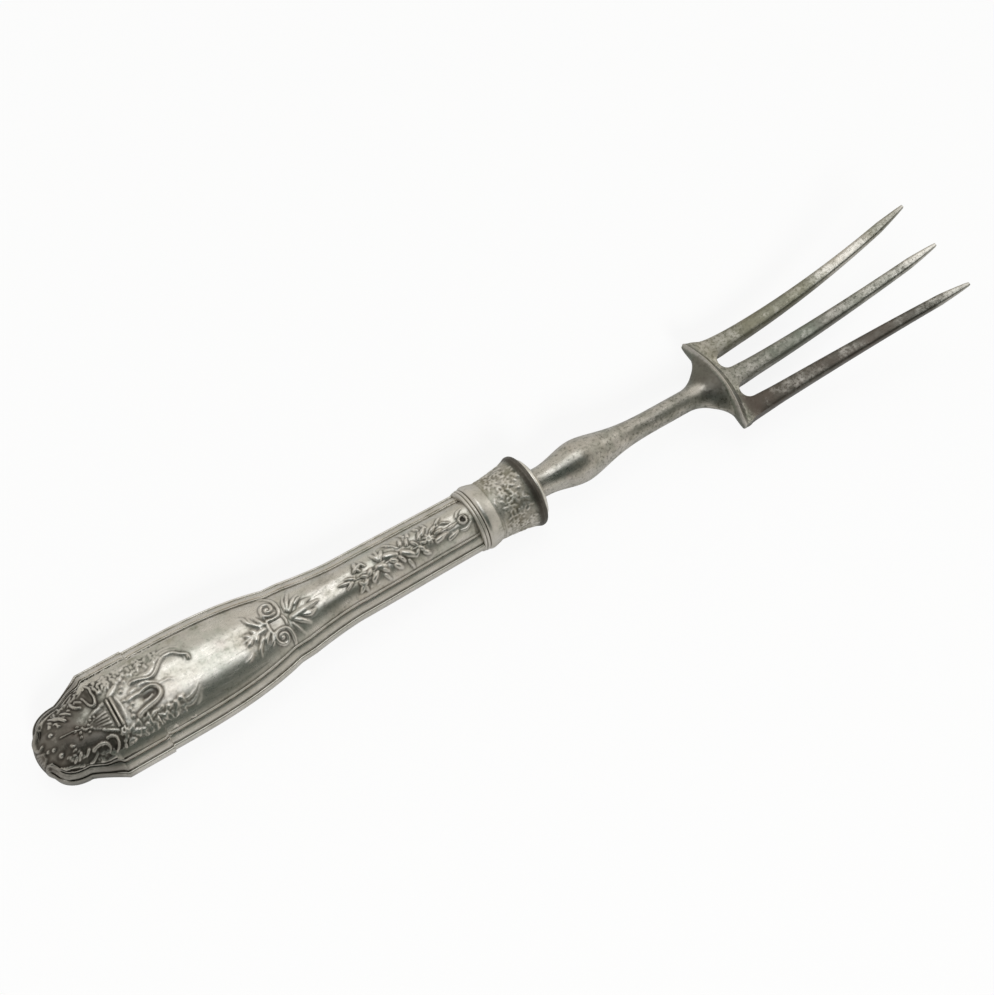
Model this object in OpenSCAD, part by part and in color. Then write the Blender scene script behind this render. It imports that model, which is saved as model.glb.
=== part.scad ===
// Roasting fork with a stamped, filled handle, lying face up.
// Long axis along X with the tines toward +X, ornamented face up, millimetres.

/* [Handle plan] */
// Length of the handle from the butt end to the mouth
handle_len = 132.5; // [120:0.5:150]
// Width across the corners near the butt
butt_w = 27.4; // [24:0.2:32]
// Width of the rounded lobe that closes the butt
lobe_w = 19.2; // [16:0.2:22]
// Width of the panel just in front of the plinth
belly_w = 26.6; // [23:0.2:31]
// Width at the small kink between the two panels
kink_w = 20.2; // [18:0.2:23]
// Width of the neck
neck_w = 16; // [14:0.2:18]
// Width across the ring moulding
ring_w = 17.3; // [15.5:0.1:19]
// Width of the waist between ring and mouth
waist_w = 16.1; // [14:0.1:18]
// Width across the rolled rim of the mouth
mouth_w = 19.6; // [18:0.2:22]

/* [Handle thickness] */
// Thickness through the panel near the butt
butt_t = 14; // [11:0.2:17]
// Thickness at the kink
kink_t = 11.8; // [10:0.2:14]
// Thickness of the neck
neck_t = 12.4; // [10:0.2:14]
// Thickness through the ring moulding
ring_t = 15.8; // [13:0.2:17]
// Thickness across the rolled rim
mouth_t = 17.2; // [15:0.2:19]
// Thickness of the shell walls
wall = 1; // [0.7:0.1:1.4]

/* [Border mouldings] */
// Width of the moulded border round the panels
border_w = 3.1; // [2.4:0.1:4]
// Height of the panel edge above the side seam
border_z = 3.5; // [2.6:0.1:4.2]
// Height of the outer bead above the side seam
bead_z = 1.5; // [1:0.1:2]

/* [Fork] */
// Distance from the mouth to the tine points
reach = 129.5; // [110:0.5:150]
// Diameter of the neck where it leaves the mouth
neck_d = 7.8; // [6:0.1:9]
// Largest diameter of the baluster
baluster_d = 11.4; // [9:0.1:13]
// Smallest diameter of the shank
shank_d = 5.8; // [4.5:0.1:7]
// Distance from the mouth to the shoulder corners
shoulder_x = 58.4; // [50:0.2:70]
// Width across the shoulder corners
shoulder_w = 28; // [24:0.2:32]
// Forward bow of the shoulder crest between its corners
crest_bow = 1.3; // [0:0.1:2.4]
// Rise of the shoulder crest above its corners
crest_rise = 3.5; // [1:0.1:5]
// Distance between the tines at their roots
tine_pitch = 9.95; // [8.5:0.05:11]
// Distance between the tines at their points
tip_pitch = 14.1; // [11:0.1:16]
// Width of a tine at its root
tine_w = 5; // [4:0.1:6]
// Thickness of a tine at its root
tine_t = 3.8; // [2.8:0.1:4.6]
// Drop of the tine roots below the shank axis
root_drop = 2.5; // [0:0.1:4]
// Rise of the tine points above their roots
tine_rise = 14.7; // [4:0.1:20]

/* [Tang and mouth cap] */
// Length of the tang inside the handle
tang_len = 86; // [50:1:100]
// Width of the tang behind the mouth
tang_w = 6; // [4:0.1:7]
// Thickness of the tang
tang_t = 3.6; // [2.4:0.1:4.6]
// Thickness of the flange of the mouth cap
cap_t = 0.7; // [0.5:0.1:1.2]
// Rise of the domed cap above the rim
cap_dome = 1.9; // [1:0.1:2.6]
// Gap round the tang and the filling
fit_gap = 0.05; // [0.02:0.01:0.1]

/* [Hidden] */
rim_len = 2.6;
flare_len = 11.4;
ring_len = 17.8;
roll_at = 1.2;
roll_half = 1.35;
band_at = 14.3;
band_half = 1.9;
bead_a = 16.6;
bead_b = 17.4;
neck_mid = 32;
neck_end = 52;
kink_front = 66;
kink_back = 70;
plinth_back = handle_len - 16;
plinth_front = plinth_back - 11.5;
fan_from = plinth_back - 4.5;
lobe_len = 8.6;
lobe_mid = handle_len - lobe_len;
spine_end = lobe_mid - 4;
bore_r = neck_d / 2 + fit_gap;
cap_w = mouth_w - 2.4;
cap_h = mouth_t - 2.4;
bolster_len = 4;
neck_len = 4.2;
belly_x = 15.4;
horn_x = shoulder_x - 9.8;
crest_len = 3.2;
root_x = shoulder_x + 7.6;
gap_half = (tine_pitch - tine_w) / 2;

function mix(a, b, t) = a + (b - a) * t;
function span(a, b, n) = [for (i = [0:n - 1]) mix(a, b, i / n)];
function crowd(a, b, n, p) = [for (i = [0:n]) mix(b, a, pow(1 - i / n, p))];
function clamp01(t) = min(1, max(0, t));
function ease(t) = let (c = clamp01(t)) c * c * (3 - 2 * c);
function bump(d, at, half) = let (t = (d - at) / half) abs(t) < 1 ? sqrt(1 - t * t) : 0;

// Half width of the plan outline, d measured back from the mouth.
function rim_half(d) = mouth_w / 2 - 1.15 + 1.15 * bump(d, roll_at, roll_half);
function flare_half(d) = waist_w / 2 + (mouth_w / 2 - 1.15 - waist_w / 2)
    * pow(clamp01((flare_len - d) / (flare_len - rim_len)), 1.9);
function ring_half(d) = waist_w / 2 - 0.1 + (ring_w - waist_w + 0.2) / 2
    * max(bump(d, band_at, band_half), max(0.62 * bump(d, bead_a, 0.42), 0.4 * bump(d, bead_b, 0.38)));
function kink_half(d) = mix(neck_w / 2 + 0.35, kink_w / 2 - 0.25,
    pow(clamp01((d - neck_end) / (kink_front - neck_end)), 1.5));
function belly_half(d) = kink_w / 2
    + (belly_w - kink_w) / 2 * (1 - pow(1 - clamp01((d - kink_back) / (plinth_front - kink_back)), 3));
function ramp_half(d) = lobe_w / 2 + (butt_w - lobe_w) / 2
    * pow(clamp01((lobe_mid - d) / (lobe_mid - plinth_back)), 1.2);
function half_w(d) = d < rim_len ? rim_half(d)
    : d < flare_len ? flare_half(d)
    : d < ring_len ? ring_half(d)
    : d < neck_end ? mix(neck_w / 2, neck_w / 2 + 0.35, ease((d - ring_len) / (neck_end - ring_len)))
    : d < kink_front ? kink_half(d)
    : d < kink_back ? mix(kink_w / 2 - 0.25, kink_w / 2, (d - kink_front) / (kink_back - kink_front))
    : d < plinth_front ? belly_half(d)
    : d < plinth_back ? butt_w / 2
    : ramp_half(d);

// Half thickness along the middle of a face.
function crown(d) = d < rim_len ? rim_half(d) - (mouth_w - mouth_t) / 2
    : d < flare_len ? mix(ring_t / 2 - 0.7, flare_half(d) - (mouth_w - mouth_t) / 2,
        clamp01((flare_len - d) / (flare_len - rim_len)))
    : d < ring_len ? ring_half(d) - (ring_w - ring_t) / 2
    : d < neck_mid ? mix(neck_t / 2 + 0.3, neck_t / 2, ease((d - ring_len) / (neck_mid - ring_len)))
    : d < kink_front ? mix(neck_t / 2, kink_t / 2, ease((d - neck_mid) / (kink_front - 4 - neck_mid)))
    : d < plinth_front ? mix(kink_t / 2, butt_t / 2, ease((d - kink_front) / (plinth_front - kink_front)))
    : mix(butt_t / 2, butt_t / 2 - 0.5, ease((d - plinth_front) / 15));

// Side stations from the mouth to the widest place of the lobe, then round the lobe by angle.
side_d = concat(
    [0], [for (a = [-35:25:90]) roll_at + roll_half * sin(a)],
    span(rim_len, flare_len - 0.02, 5), [flare_len - 0.02, flare_len],
    [for (a = [-90:30:60]) band_at + band_half * sin(a)],
    [for (at = [bead_a, bead_b]) for (a = [-60:60:60]) at + 0.4 * sin(a)],
    span(ring_len, neck_end, 4), span(neck_end, kink_front - 0.1, 4),
    [kink_front - 0.1, kink_front + 0.1, kink_back - 0.1],
    [for (i = [0:7]) mix(kink_back + 0.1, plinth_front - 0.1, pow(i / 7, 1.4))],
    [plinth_front + 0.3, fan_from, plinth_back - 0.9, plinth_back - 0.1],
    span(plinth_back + 0.5, lobe_mid, 4));
lobe_step = 9;
side_n = len(side_d);
lobe_n = 90 / lobe_step;
half_n = side_n + lobe_n;
last = 2 * half_n;

function notch(a) = 1 - 0.028 * exp(-pow((a - 33) / 8, 2));
function side_pt(i) = i < side_n ? [-side_d[i], half_w(side_d[i])]
    : let (a = 90 - (i - side_n) * lobe_step)
        [-lobe_mid - lobe_len * cos(a) * notch(a), lobe_w / 2 * sin(a) * notch(a)];
function plan_pt(i) = i <= half_n ? side_pt(i) : let (p = side_pt(last - i)) [p[0], -p[1]];

// Each section runs from the outline to this point of the middle line.
function spine_x(i) = let (j = min(i, last - i))
    j < side_n ? -min(spine_end, side_d[j] < fan_from ? side_d[j]
        : mix(fan_from, spine_end, (side_d[j] - fan_from) / (lobe_mid - fan_from))) : -spine_end;
function spine_id(i) = let (j = min(i, last - i)) j >= side_n ? side_n : j;

// Distance inward and height of the border mouldings.
border = [
    [0, 0], [0.02, 0.75], [0.16, bead_z * 0.85], [0.5, bead_z], [0.85, bead_z * 0.87],
    [1, bead_z + 0.45], [2.35, border_z - 0.35], [2.5, border_z - 0.55],
    [2.75, border_z - 0.02], [3, border_z], [border_w, border_z - 0.15]
];
rings_n = 15;
border_n = len(border);

flat_v = 0.8;
function pillow(v) = 1 - pow(max(0, 1 - v / flat_v), 2.3);
function is_tube(i) = side_d[min(i, last - i)] != undef && side_d[min(i, last - i)] < ring_len;
function skew(i) = let (a = plan_pt(max(0, i - 1)), b = plan_pt(min(last, i + 1)),
    t = [b[0] - a[0], b[1] - a[1]] / norm(b - a), p = plan_pt(i),
    q = [spine_x(i), 0] - p, u = q / norm(q)) max(0.72, abs(u[0] * t[1] - u[1] * t[0]));

// Point of the outer face of the front half: station i, ring k.
function tube_pt(i, k) = let (p = plan_pt(i), a = 90 * k / rings_n)
    [p[0], p[1] * cos(a), crown(-p[0]) * sin(a)];
function panel_pt(i, k) = let (p = plan_pt(i), q = [spine_x(i), 0], run = norm(q - p),
    edge = border_w / skew(i), top = crown(-q[0]),
    v = k < border_n ? 0 : (k - border_n + 1) / (rings_n - border_n + 1),
    go = k < border_n ? border[k][0] / skew(i) : mix(edge, run, v),
    z = k < border_n ? border[k][1] : mix(border_z - 0.15, top, pillow(v)),
    m = p + (q - p) * go / run) [m[0], m[1], z];
function outer_pt(i, k) = is_tube(i) ? tube_pt(i, k) : panel_pt(i, k);

// Point of a smooth inner face that lies in mm under the outer face.
inner_n = 6;
function inner_tube_pt(i, k, in) = let (a = 90 * k / inner_n)
    [plan_pt(i)[0], (waist_w / 2 - in) * cos(a) * sign(plan_pt(i)[1]), (ring_t / 2 - 0.7 - in) * sin(a)];
function inner_panel_pt(i, k, in) = let (p = plan_pt(i), q = [spine_x(i), 0], run = norm(q - p),
    edge = border_w / skew(i), top = crown(-q[0]) - in,
    v = k < 3 ? 0 : mix(0.08, 1, (k - 3) / (inner_n - 3)),
    go = k == 0 ? in / skew(i) : k == 1 ? (in + 0.15) / skew(i) : k == 2 ? (in + 1.2) / skew(i)
        : mix(edge, run, v),
    z = k == 0 ? 0 : k == 1 ? bead_z - 0.6 : k == 2 ? border_z - 0.75 - in
        : mix(border_z - 0.15 - in, top, pillow(v)),
    m = p + (q - p) * go / run) [m[0], m[1], z];
function inner_pt(i, k, in) = is_tube(i) ? inner_tube_pt(i, k, in) : inner_panel_pt(i, k, in);

// Point index of a grid whose innermost ring is shared by both sides.
function idx(i, k, n, base) = k < n ? base + i * n + k : base + (last + 1) * n + spine_id(i);
function spine_pt(j, n, kind, in) = kind == 0 ? outer_pt(j, n) : inner_pt(j, n, in);
function grid_pts(n, kind, in) = concat(
    [for (i = [0:last]) for (k = [0:n - 1]) kind == 0 ? outer_pt(i, k) : inner_pt(i, k, in)],
    [for (j = [0:side_n]) spine_pt(j, n, kind, in)]);
function quad(a, b, c, d) = concat(
    a == b || b == c || a == c ? [] : [[a, b, c]],
    a == c || c == d || a == d ? [] : [[a, c, d]]);
function grid_faces(n, base, inward) = [for (i = [0:last - 1]) for (k = [0:n - 1])
    for (f = !inward
        ? quad(idx(i, k, n, base), idx(i, k + 1, n, base), idx(i + 1, k + 1, n, base), idx(i + 1, k, n, base))
        : quad(idx(i, k, n, base), idx(i + 1, k, n, base), idx(i + 1, k + 1, n, base), idx(i, k + 1, n, base))) f];

// Tilt and lift that lay the rim and the belly of the back half on one level.
lie = min([for (d = side_d) if (d > neck_end) atan((mouth_t / 2 - crown(d)) / (d - roll_at))]);
lift = roll_at * sin(lie) + mouth_t / 2 * cos(lie);
shift_x = (handle_len - reach) * cos(lie) / 2 + (tine_rise - root_drop) * sin(lie) / 2;
module lay() {
    translate([shift_x, 0, lift]) rotate([0, -lie, 0]) children();
}

// Faces of the mouth edge, between the arcs of the outer and the inner face.
function near_k(k) = floor((k + 0.5) * inner_n / rings_n);
function mouth_faces(i, base) = [for (k = [0:rings_n - 1]) for (f = concat(
    [[idx(i, k + 1, rings_n, 0), idx(i, k, rings_n, 0), idx(i, near_k(k), inner_n, base)]],
    near_k(k + 1) == near_k(k) ? [] :
    [[idx(i, near_k(k), inner_n, base), idx(i, near_k(k) + 1, inner_n, base), idx(i, k + 1, rings_n, 0)]]))
    i == 0 ? f : [f[2], f[1], f[0]]];

module half_shell() {
    outer_count = (last + 1) * rings_n + side_n + 1;
    points = concat(grid_pts(rings_n, 0, 0), grid_pts(inner_n, 1, wall));
    seam = [for (i = [0:last - 1]) for (f = quad(
        idx(i, 0, rings_n, 0), idx(i + 1, 0, rings_n, 0),
        idx(i + 1, 0, inner_n, outer_count), idx(i, 0, inner_n, outer_count))) f];
    mouth = concat(mouth_faces(0, outer_count), mouth_faces(last, outer_count));
    polyhedron(points, concat(
        grid_faces(rings_n, 0, false), grid_faces(inner_n, outer_count, true), seam, mouth), convexity = 6);
}

// Cement core: both inner faces joined along the seam plane and closed at the mouth.
module core_block() {
    front = grid_pts(inner_n, 1, wall + fit_gap);
    count = len(front);
    back = [for (p = front) [p[0], p[1], -p[2]]];
    faces_front = grid_faces(inner_n, 0, false);
    faces_back = [for (f = faces_front) [for (j = [len(f) - 1:-1:0]) core_id(f[j], count)]];
    rim = concat(
        [for (k = [0:inner_n]) idx(0, k, inner_n, 0)],
        [for (k = [inner_n - 1:-1:0]) idx(last, k, inner_n, 0)],
        [for (k = [1:inner_n]) idx(last, k, inner_n, count)],
        [for (k = [inner_n - 1:-1:1]) idx(0, k, inner_n, count)]);
    mouth = [for (j = [0:len(rim) - 1]) [rim[(j + 1) % len(rim)], rim[j], 2 * count]];
    polyhedron(concat(front, back, [[0, 0, 0]]), concat(faces_front, faces_back, mouth), convexity = 6);
}
function core_id(v, count) = v < (last + 1) * inner_n && v % inner_n == 0 ? v : v + count;

// Tang: a flat bar that narrows toward the butt, more by the given amount on every side.
module tang_bar(more) {
    w0 = tang_w / 2 + more;
    w1 = tang_w / 5 + more;
    translate([0, 0, -tang_t / 2 - more])
        linear_extrude(tang_t + 2 * more)
            polygon([[-bolster_len + 0.5, -w0], [-bolster_len + 0.5, w0], [-tang_len, w1], [-tang_len, -w1]]);
}

module handle_front() {
    color([0.78, 0.76, 0.72]) lay() half_shell();
}

module handle_back() {
    color([0.72, 0.7, 0.66]) lay() mirror([0, 0, 1]) half_shell();
}

module handle_filling() {
    color([0.36, 0.3, 0.25]) lay() difference() {
        core_block();
        tang_bar(fit_gap);
        translate([-bolster_len, 0, 0]) rotate([0, 90, 0]) cylinder(h = bolster_len + 1, r = bore_r, $fn = 64);
    }
}

// Oval domed plate that closes the mouth round the neck of the fork.
module mouth_cap() {
    color([0.82, 0.81, 0.78]) lay() difference() {
        intersection() {
            rotate([0, 90, 0]) linear_extrude(cap_dome + 1)
                polygon([for (a = [0:5:355]) [cap_h / 2 * cos(a), cap_w / 2 * sin(a)]]);
            rotate([0, 90, 0]) rotate_extrude($fn = 96)
                polygon(concat([[0, 0], [cap_w / 2 + 0.01, 0]],
                    [for (a = [0:9:90]) [(cap_w / 2 + 0.01) * cos(a), cap_t + (cap_dome - cap_t) * sin(a)]]));
        }
        translate([-1, 0, 0]) rotate([0, 90, 0]) cylinder(h = cap_dome + 2, r = bore_r, $fn = 64);
    }
}

// Radius of the round part of the fork, x measured from the mouth.
function baluster_r(x) = x < neck_len ? neck_d / 2
    : x < belly_x ? mix(neck_d / 2, baluster_d / 2, ease((x - neck_len) / (belly_x - neck_len)))
    : mix(baluster_d / 2, shank_d / 2, ease(1 - pow(1 - clamp01((x - belly_x) / (horn_x - 3.6 - belly_x)), 2.2)));

// Radius of the horn that spreads the shank into the shoulder.
function horn_r(x) = let (t = clamp01((x - horn_x) / (shoulder_x - horn_x)))
    shank_d / 2 + (shoulder_w / 2 - shank_d / 2) * (1 - sqrt(1 - t * t));

// Middle height and thickness of the flat part, shoulder and tines.
function mid_z(x) = x < root_x ? -root_drop * ease((x - horn_x) / (root_x - horn_x))
    : -root_drop + tine_rise * pow((x - root_x) / (reach - root_x), 1.6);
function tip_f(x) = max(0.16, sqrt(clamp01((reach - x) / 14)));
function flat_t(x) = x < shoulder_x
    ? mix(shank_d + 0.2, tine_t + 0.5, ease((x - horn_x) / (shoulder_x - horn_x)))
    : x < shoulder_x + crest_len ? mix(tine_t + 0.5, tine_t + 0.15, (x - shoulder_x) / crest_len)
    : x < root_x ? tine_t + 0.1
    : tine_t * (1 - 0.4 * (x - root_x) / (reach - root_x)) * tip_f(x);
function tine_half(x) = tine_w / 2 * (1 - 0.55 * clamp01((x - root_x) / (reach - root_x))) * tip_f(x);
function tine_y(x) = tine_pitch + (tip_pitch - tine_pitch) * pow(clamp01((x - root_x) / (reach - root_x)), 2.1);
function edge_y(x) = tine_y(x) + tine_half(x)
    + (shoulder_w / 2 - tine_pitch - tine_w / 2) * pow(clamp01((root_x + 2 - x) / (root_x + 2 - shoulder_x)), 2.2);

// Stations along the shank, the flat part and the tines.
round_x = concat(span(neck_len, belly_x, 7), span(belly_x, horn_x - 3.6, 13), [horn_x - 3.6, horn_x + 4]);
tine_x = crowd(root_x, reach, 18, 1.7);
flat_x = concat(span(horn_x - 3, shoulder_x, 5), [shoulder_x], [shoulder_x + crest_len], tine_x);
plate_x = concat(shoulder_x - 0.2, span(shoulder_x, root_x + 0.4, 8), root_x + 0.4);

// Underside of the shoulder, the arch of its crest seen along the shank, and the bow of the crest in plan.
module horn_under() {
    rotate([90, 0, 0]) linear_extrude(shoulder_w + 10, center = true)
        polygon(concat([[horn_x - 4, shoulder_w / 2]],
            [for (x = span(horn_x - 4, shoulder_x + crest_len, 12)) [x, mid_z(x) - flat_t(x) / 2]],
            [[shoulder_x + crest_len, mid_z(shoulder_x + crest_len) - flat_t(shoulder_x + crest_len) / 2],
            [shoulder_x + crest_len, shoulder_w / 2]]));
}

module crest_arch() {
    corner = mid_z(shoulder_x) + flat_t(shoulder_x) / 2;
    translate([horn_x - 4, 0, 0]) rotate([90, 0, 90]) linear_extrude(shoulder_x - horn_x + 8)
        polygon(concat([[-shoulder_w / 2, -shoulder_w / 2], [shoulder_w / 2, -shoulder_w / 2]],
            [for (t = [1:-0.1:-1]) [t * shoulder_w / 2, corner + crest_rise * (1 - t * t)]]));
}

module crest_plan() {
    translate([0, 0, -shoulder_w / 2]) linear_extrude(shoulder_w)
        polygon(concat([[horn_x - 4, -shoulder_w / 2 - 1], [shoulder_x, -shoulder_w / 2 - 1]],
            [for (t = [-1:0.1:1]) [shoulder_x + crest_bow * (1 - t * t), t * shoulder_w / 2]],
            [[shoulder_x, shoulder_w / 2 + 1], [horn_x - 4, shoulder_w / 2 + 1]]));
}

module side_profile() {
    rotate([90, 0, 0]) linear_extrude(shoulder_w + 10, center = true)
        polygon(concat(
            [for (x = flat_x) [x, mid_z(x) + flat_t(x) / 2]],
            [for (j = [len(flat_x) - 1:-1:0]) [flat_x[j], mid_z(flat_x[j]) - flat_t(flat_x[j]) / 2]]));
}

module head_plan() {
    difference() {
        polygon(concat(
            [for (x = plate_x) [x, edge_y(x)]],
            [for (j = [len(plate_x) - 1:-1:0]) [plate_x[j], -edge_y(plate_x[j])]]));
        for (side = [-1, 1])
            translate([root_x + 0.4, side * tine_pitch / 2])
                scale([2.4 / gap_half, 1]) circle(gap_half, $fn = 40);
    }
    polygon(concat(
        [for (x = tine_x) [x, tine_half(x)]],
        [for (j = [len(tine_x) - 1:-1:0]) [tine_x[j], -tine_half(tine_x[j])]]));
    for (side = [-1, 1])
        polygon(concat(
            [for (x = tine_x) [x, side * edge_y(x)]],
            [for (j = [len(tine_x) - 1:-1:0]) [tine_x[j], side * (tine_y(tine_x[j]) - tine_half(tine_x[j]))]]));
}

module fork() {
    color([0.62, 0.6, 0.56]) lay() {
        rotate([0, 90, 0]) rotate_extrude($fn = 64)
            polygon(concat([[0, -bolster_len]],
                [[neck_d / 2, -bolster_len]],
                [for (x = round_x) [baluster_r(x), x]],
                [[0, round_x[len(round_x) - 1]]]));
        tang_bar(0);
        intersection() {
            rotate([0, 90, 0]) rotate_extrude($fn = 96)
                polygon(concat([[0, horn_x - 3], [shank_d / 2, horn_x - 3]],
                    [for (a = [0:6:90]) let (x = mix(horn_x, shoulder_x, sin(a))) [horn_r(x), x]],
                    [[shoulder_w / 2, shoulder_x + crest_bow + 0.5], [0, shoulder_x + crest_bow + 0.5]]));
            horn_under();
            crest_arch();
            crest_plan();
        }
        intersection() {
            linear_extrude(80, center = true) head_plan();
            side_profile();
        }
    }
}

fork();
mouth_cap();
handle_front();
handle_back();
handle_filling();
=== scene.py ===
import math
import random

import bmesh
import bpy
import numpy as np
from mathutils import Matrix, Vector


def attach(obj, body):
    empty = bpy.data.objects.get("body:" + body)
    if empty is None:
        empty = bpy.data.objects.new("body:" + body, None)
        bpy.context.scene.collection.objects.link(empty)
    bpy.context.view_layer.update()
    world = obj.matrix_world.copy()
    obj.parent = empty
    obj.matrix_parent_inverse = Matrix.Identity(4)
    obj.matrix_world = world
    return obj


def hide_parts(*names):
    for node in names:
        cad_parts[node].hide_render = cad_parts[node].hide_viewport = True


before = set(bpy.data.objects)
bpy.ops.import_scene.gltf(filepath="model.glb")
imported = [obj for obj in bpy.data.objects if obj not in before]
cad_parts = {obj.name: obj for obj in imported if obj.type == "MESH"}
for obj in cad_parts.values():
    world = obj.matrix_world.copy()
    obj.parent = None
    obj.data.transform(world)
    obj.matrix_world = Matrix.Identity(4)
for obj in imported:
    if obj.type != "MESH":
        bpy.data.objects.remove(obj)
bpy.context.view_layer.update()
print("packed frame loaded")

# Sizes in millimetres, measured back from the mouth as in the solids.
handle = {
    "length": 132.5, "buttWidth": 27.4, "lobeWidth": 19.2, "bellyWidth": 26.6, "kinkWidth": 20.2,
    "neckWidth": 16.0, "neckSpread": 0.35, "ringWidth": 17.3, "waistWidth": 16.1, "mouthWidth": 19.6,
    "buttThick": 14.0, "kinkThick": 11.8, "neckThick": 12.4, "ringThick": 15.8, "waistThick": 14.4,
    "mouthThick": 17.2, "wall": 1.0, "rim": 2.6, "flare": 11.4, "ring": 17.8, "neckMid": 32.0,
    "neckEnd": 52.0, "kinkFront": 66.0, "kinkBack": 70.0, "lobe": 8.6, "lobeSteps": 64, "panelRings": 43,
    "lipStart": 1.3, "lipDepth": 1.0, "lipDrop": 0.8, "restsAt": 1.2,
    "crest": 15.0, "crestBack": 1.1, "crestFront": 2.9, "cords": ((16.6, 0.42, 0.62), (17.4, 0.38, 0.4)),
    "notches": ((33, 8, -0.028), (55, 20, 0.03)),
}
handle["plinthBack"] = handle["length"] - 16
handle["plinthFront"] = handle["plinthBack"] - 11.5
handle["fanFrom"] = handle["plinthBack"] - 4.5
handle["lobeMid"] = handle["length"] - handle["lobe"]
handle["spineEnd"] = handle["lobeMid"] - 4
# How far the tips reach past the mouth, and how high they rise along the handle's axis.
tips = {"reach": 129.5, "rise": 12.2}


def mix(a, b, t):
    return a + (b - a) * t


def clip01(t):
    return np.clip(t, 0, 1)


def ease(t):
    c = clip01(t)
    return c * c * (3 - 2 * c)


def bump(d, at, half):
    return np.sqrt(np.clip(1 - ((d - at) / half) ** 2, 0, None))


def ringMoulding(d):
    h = handle
    back = bump(d, h["crest"], h["crestBack"])
    front = clip01(1 - clip01((h["crest"] - d) / h["crestFront"]) ** 1.3)
    cords = [size * bump(d, at, half) for at, half, size in h["cords"]]
    return np.maximum.reduce([np.where(d > h["crest"], back, front), *cords])


def halfWidth(d):
    h = handle
    waist, neck, kinked, butt = (h[k] / 2 for k in ("waistWidth", "neckWidth", "kinkWidth", "buttWidth"))
    flare = mix(waist, h["mouthWidth"] / 2, clip01((h["flare"] - d) / (h["flare"] - h["lipStart"])) ** 2.7)
    rim = flare - h["lipDrop"] * (1 - np.sqrt(1 - clip01(1 - d / h["lipDepth"]) ** 2))
    ring = waist - 0.1 + (h["ringWidth"] - h["waistWidth"] + 0.2) / 2 * ringMoulding(d)
    narrow = mix(neck, neck + h["neckSpread"], ease((d - h["ring"]) / (h["neckEnd"] - h["ring"])))
    shoulder = mix(neck + h["neckSpread"], kinked - 0.25,
                   clip01((d - h["neckEnd"]) / (h["kinkFront"] - h["neckEnd"])) ** 1.5)
    kink = mix(kinked - 0.25, kinked, (d - h["kinkFront"]) / (h["kinkBack"] - h["kinkFront"]))
    belly = mix(kinked, h["bellyWidth"] / 2,
                1 - (1 - clip01((d - h["kinkBack"]) / (h["plinthFront"] - h["kinkBack"]))) ** 3)
    ramp = mix(h["lobeWidth"] / 2, butt,
               clip01((h["lobeMid"] - d) / (h["lobeMid"] - h["plinthBack"])) ** 1.2)
    return np.select(
        [d < h["rim"], d < h["flare"], d < h["ring"], d < h["neckEnd"], d < h["kinkFront"],
         d < h["kinkBack"], d < h["plinthFront"], d < h["plinthBack"]],
        [rim, flare, ring, narrow, shoulder, kink, belly, butt + 0 * d], ramp)


def crown(d):
    h = handle
    half = halfWidth(d)
    lip = half - (h["mouthWidth"] - h["mouthThick"]) / 2
    flare = mix(h["waistThick"] / 2, lip, clip01((h["flare"] - d) / (h["flare"] - h["rim"])))
    ring = half - (h["ringWidth"] - h["ringThick"]) / 2
    neck, kink, butt = h["neckThick"] / 2, h["kinkThick"] / 2, h["buttThick"] / 2
    return np.select(
        [d < h["rim"], d < h["flare"], d < h["ring"], d < h["neckMid"], d < h["kinkFront"],
         d < h["plinthFront"]],
        [lip, flare, ring, mix(neck + 0.3, neck, ease((d - h["ring"]) / (h["neckMid"] - h["ring"]))),
         mix(neck, kink, ease((d - h["neckMid"]) / (h["kinkFront"] - 4 - h["neckMid"]))),
         mix(kink, butt, ease((d - h["kinkFront"]) / (h["plinthFront"] - h["kinkFront"])))],
        mix(butt, butt - 0.5, ease((d - h["plinthFront"]) / 15)))


# Stations of one side of the outline, closer together where the outline steps.
def stations():
    h = handle
    stops = ((h["rim"], 0.13), (h["flare"], 0.21), (h["ring"], 0.13), (h["kinkFront"] - 0.2, 0.21),
             (h["kinkBack"] + 0.3, 0.15), (h["plinthFront"] - 0.3, 0.21), (h["plinthFront"] + 0.5, 0.13),
             (h["plinthBack"] - 0.5, 0.21), (h["plinthBack"] + 0.5, 0.13), (h["lobeMid"], 0.2))
    out, start = [], 0
    for stop, step in stops:
        out.append(np.linspace(start, stop, max(2, round((stop - start) / step)), endpoint=False))
        start = stop
    return np.concatenate(out)


sideD = stations()
lobeSteps = handle["lobeSteps"]
sideCount = len(sideD)
halfCount = sideCount + lobeSteps
lastStation = 2 * halfCount

# Tilt and lift that lay rim and belly on one level, the rim on the line restsAt.
coarse = sideD[sideD > handle["neckEnd"]]
lie = np.arctan((handle["mouthThick"] / 2 - crown(coarse)) / (coarse - handle["restsAt"])).min()
lift = handle["restsAt"] * math.sin(lie) + handle["mouthThick"] / 2 * math.cos(lie)
shiftX = ((handle["length"] - tips["reach"]) * math.cos(lie) + tips["rise"] * math.sin(lie)) / 2


def lay(points):
    p = np.asarray(points, float)
    out = np.empty_like(p)
    out[:, 0] = p[:, 0] * math.cos(lie) - p[:, 2] * math.sin(lie) + shiftX
    out[:, 1] = p[:, 1]
    out[:, 2] = p[:, 0] * math.sin(lie) + p[:, 2] * math.cos(lie) + lift
    return out * 0.001


# The lobe dips and swells round these angles.
def notch(a):
    share = 1 + 0 * a
    for at, wide, size in handle["notches"]:
        share = share + size * np.exp(-((a - at) / wide) ** 2)
    return share


def mirrored(line, sign=1):
    return np.concatenate([line, sign * line[-2::-1]])


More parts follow.
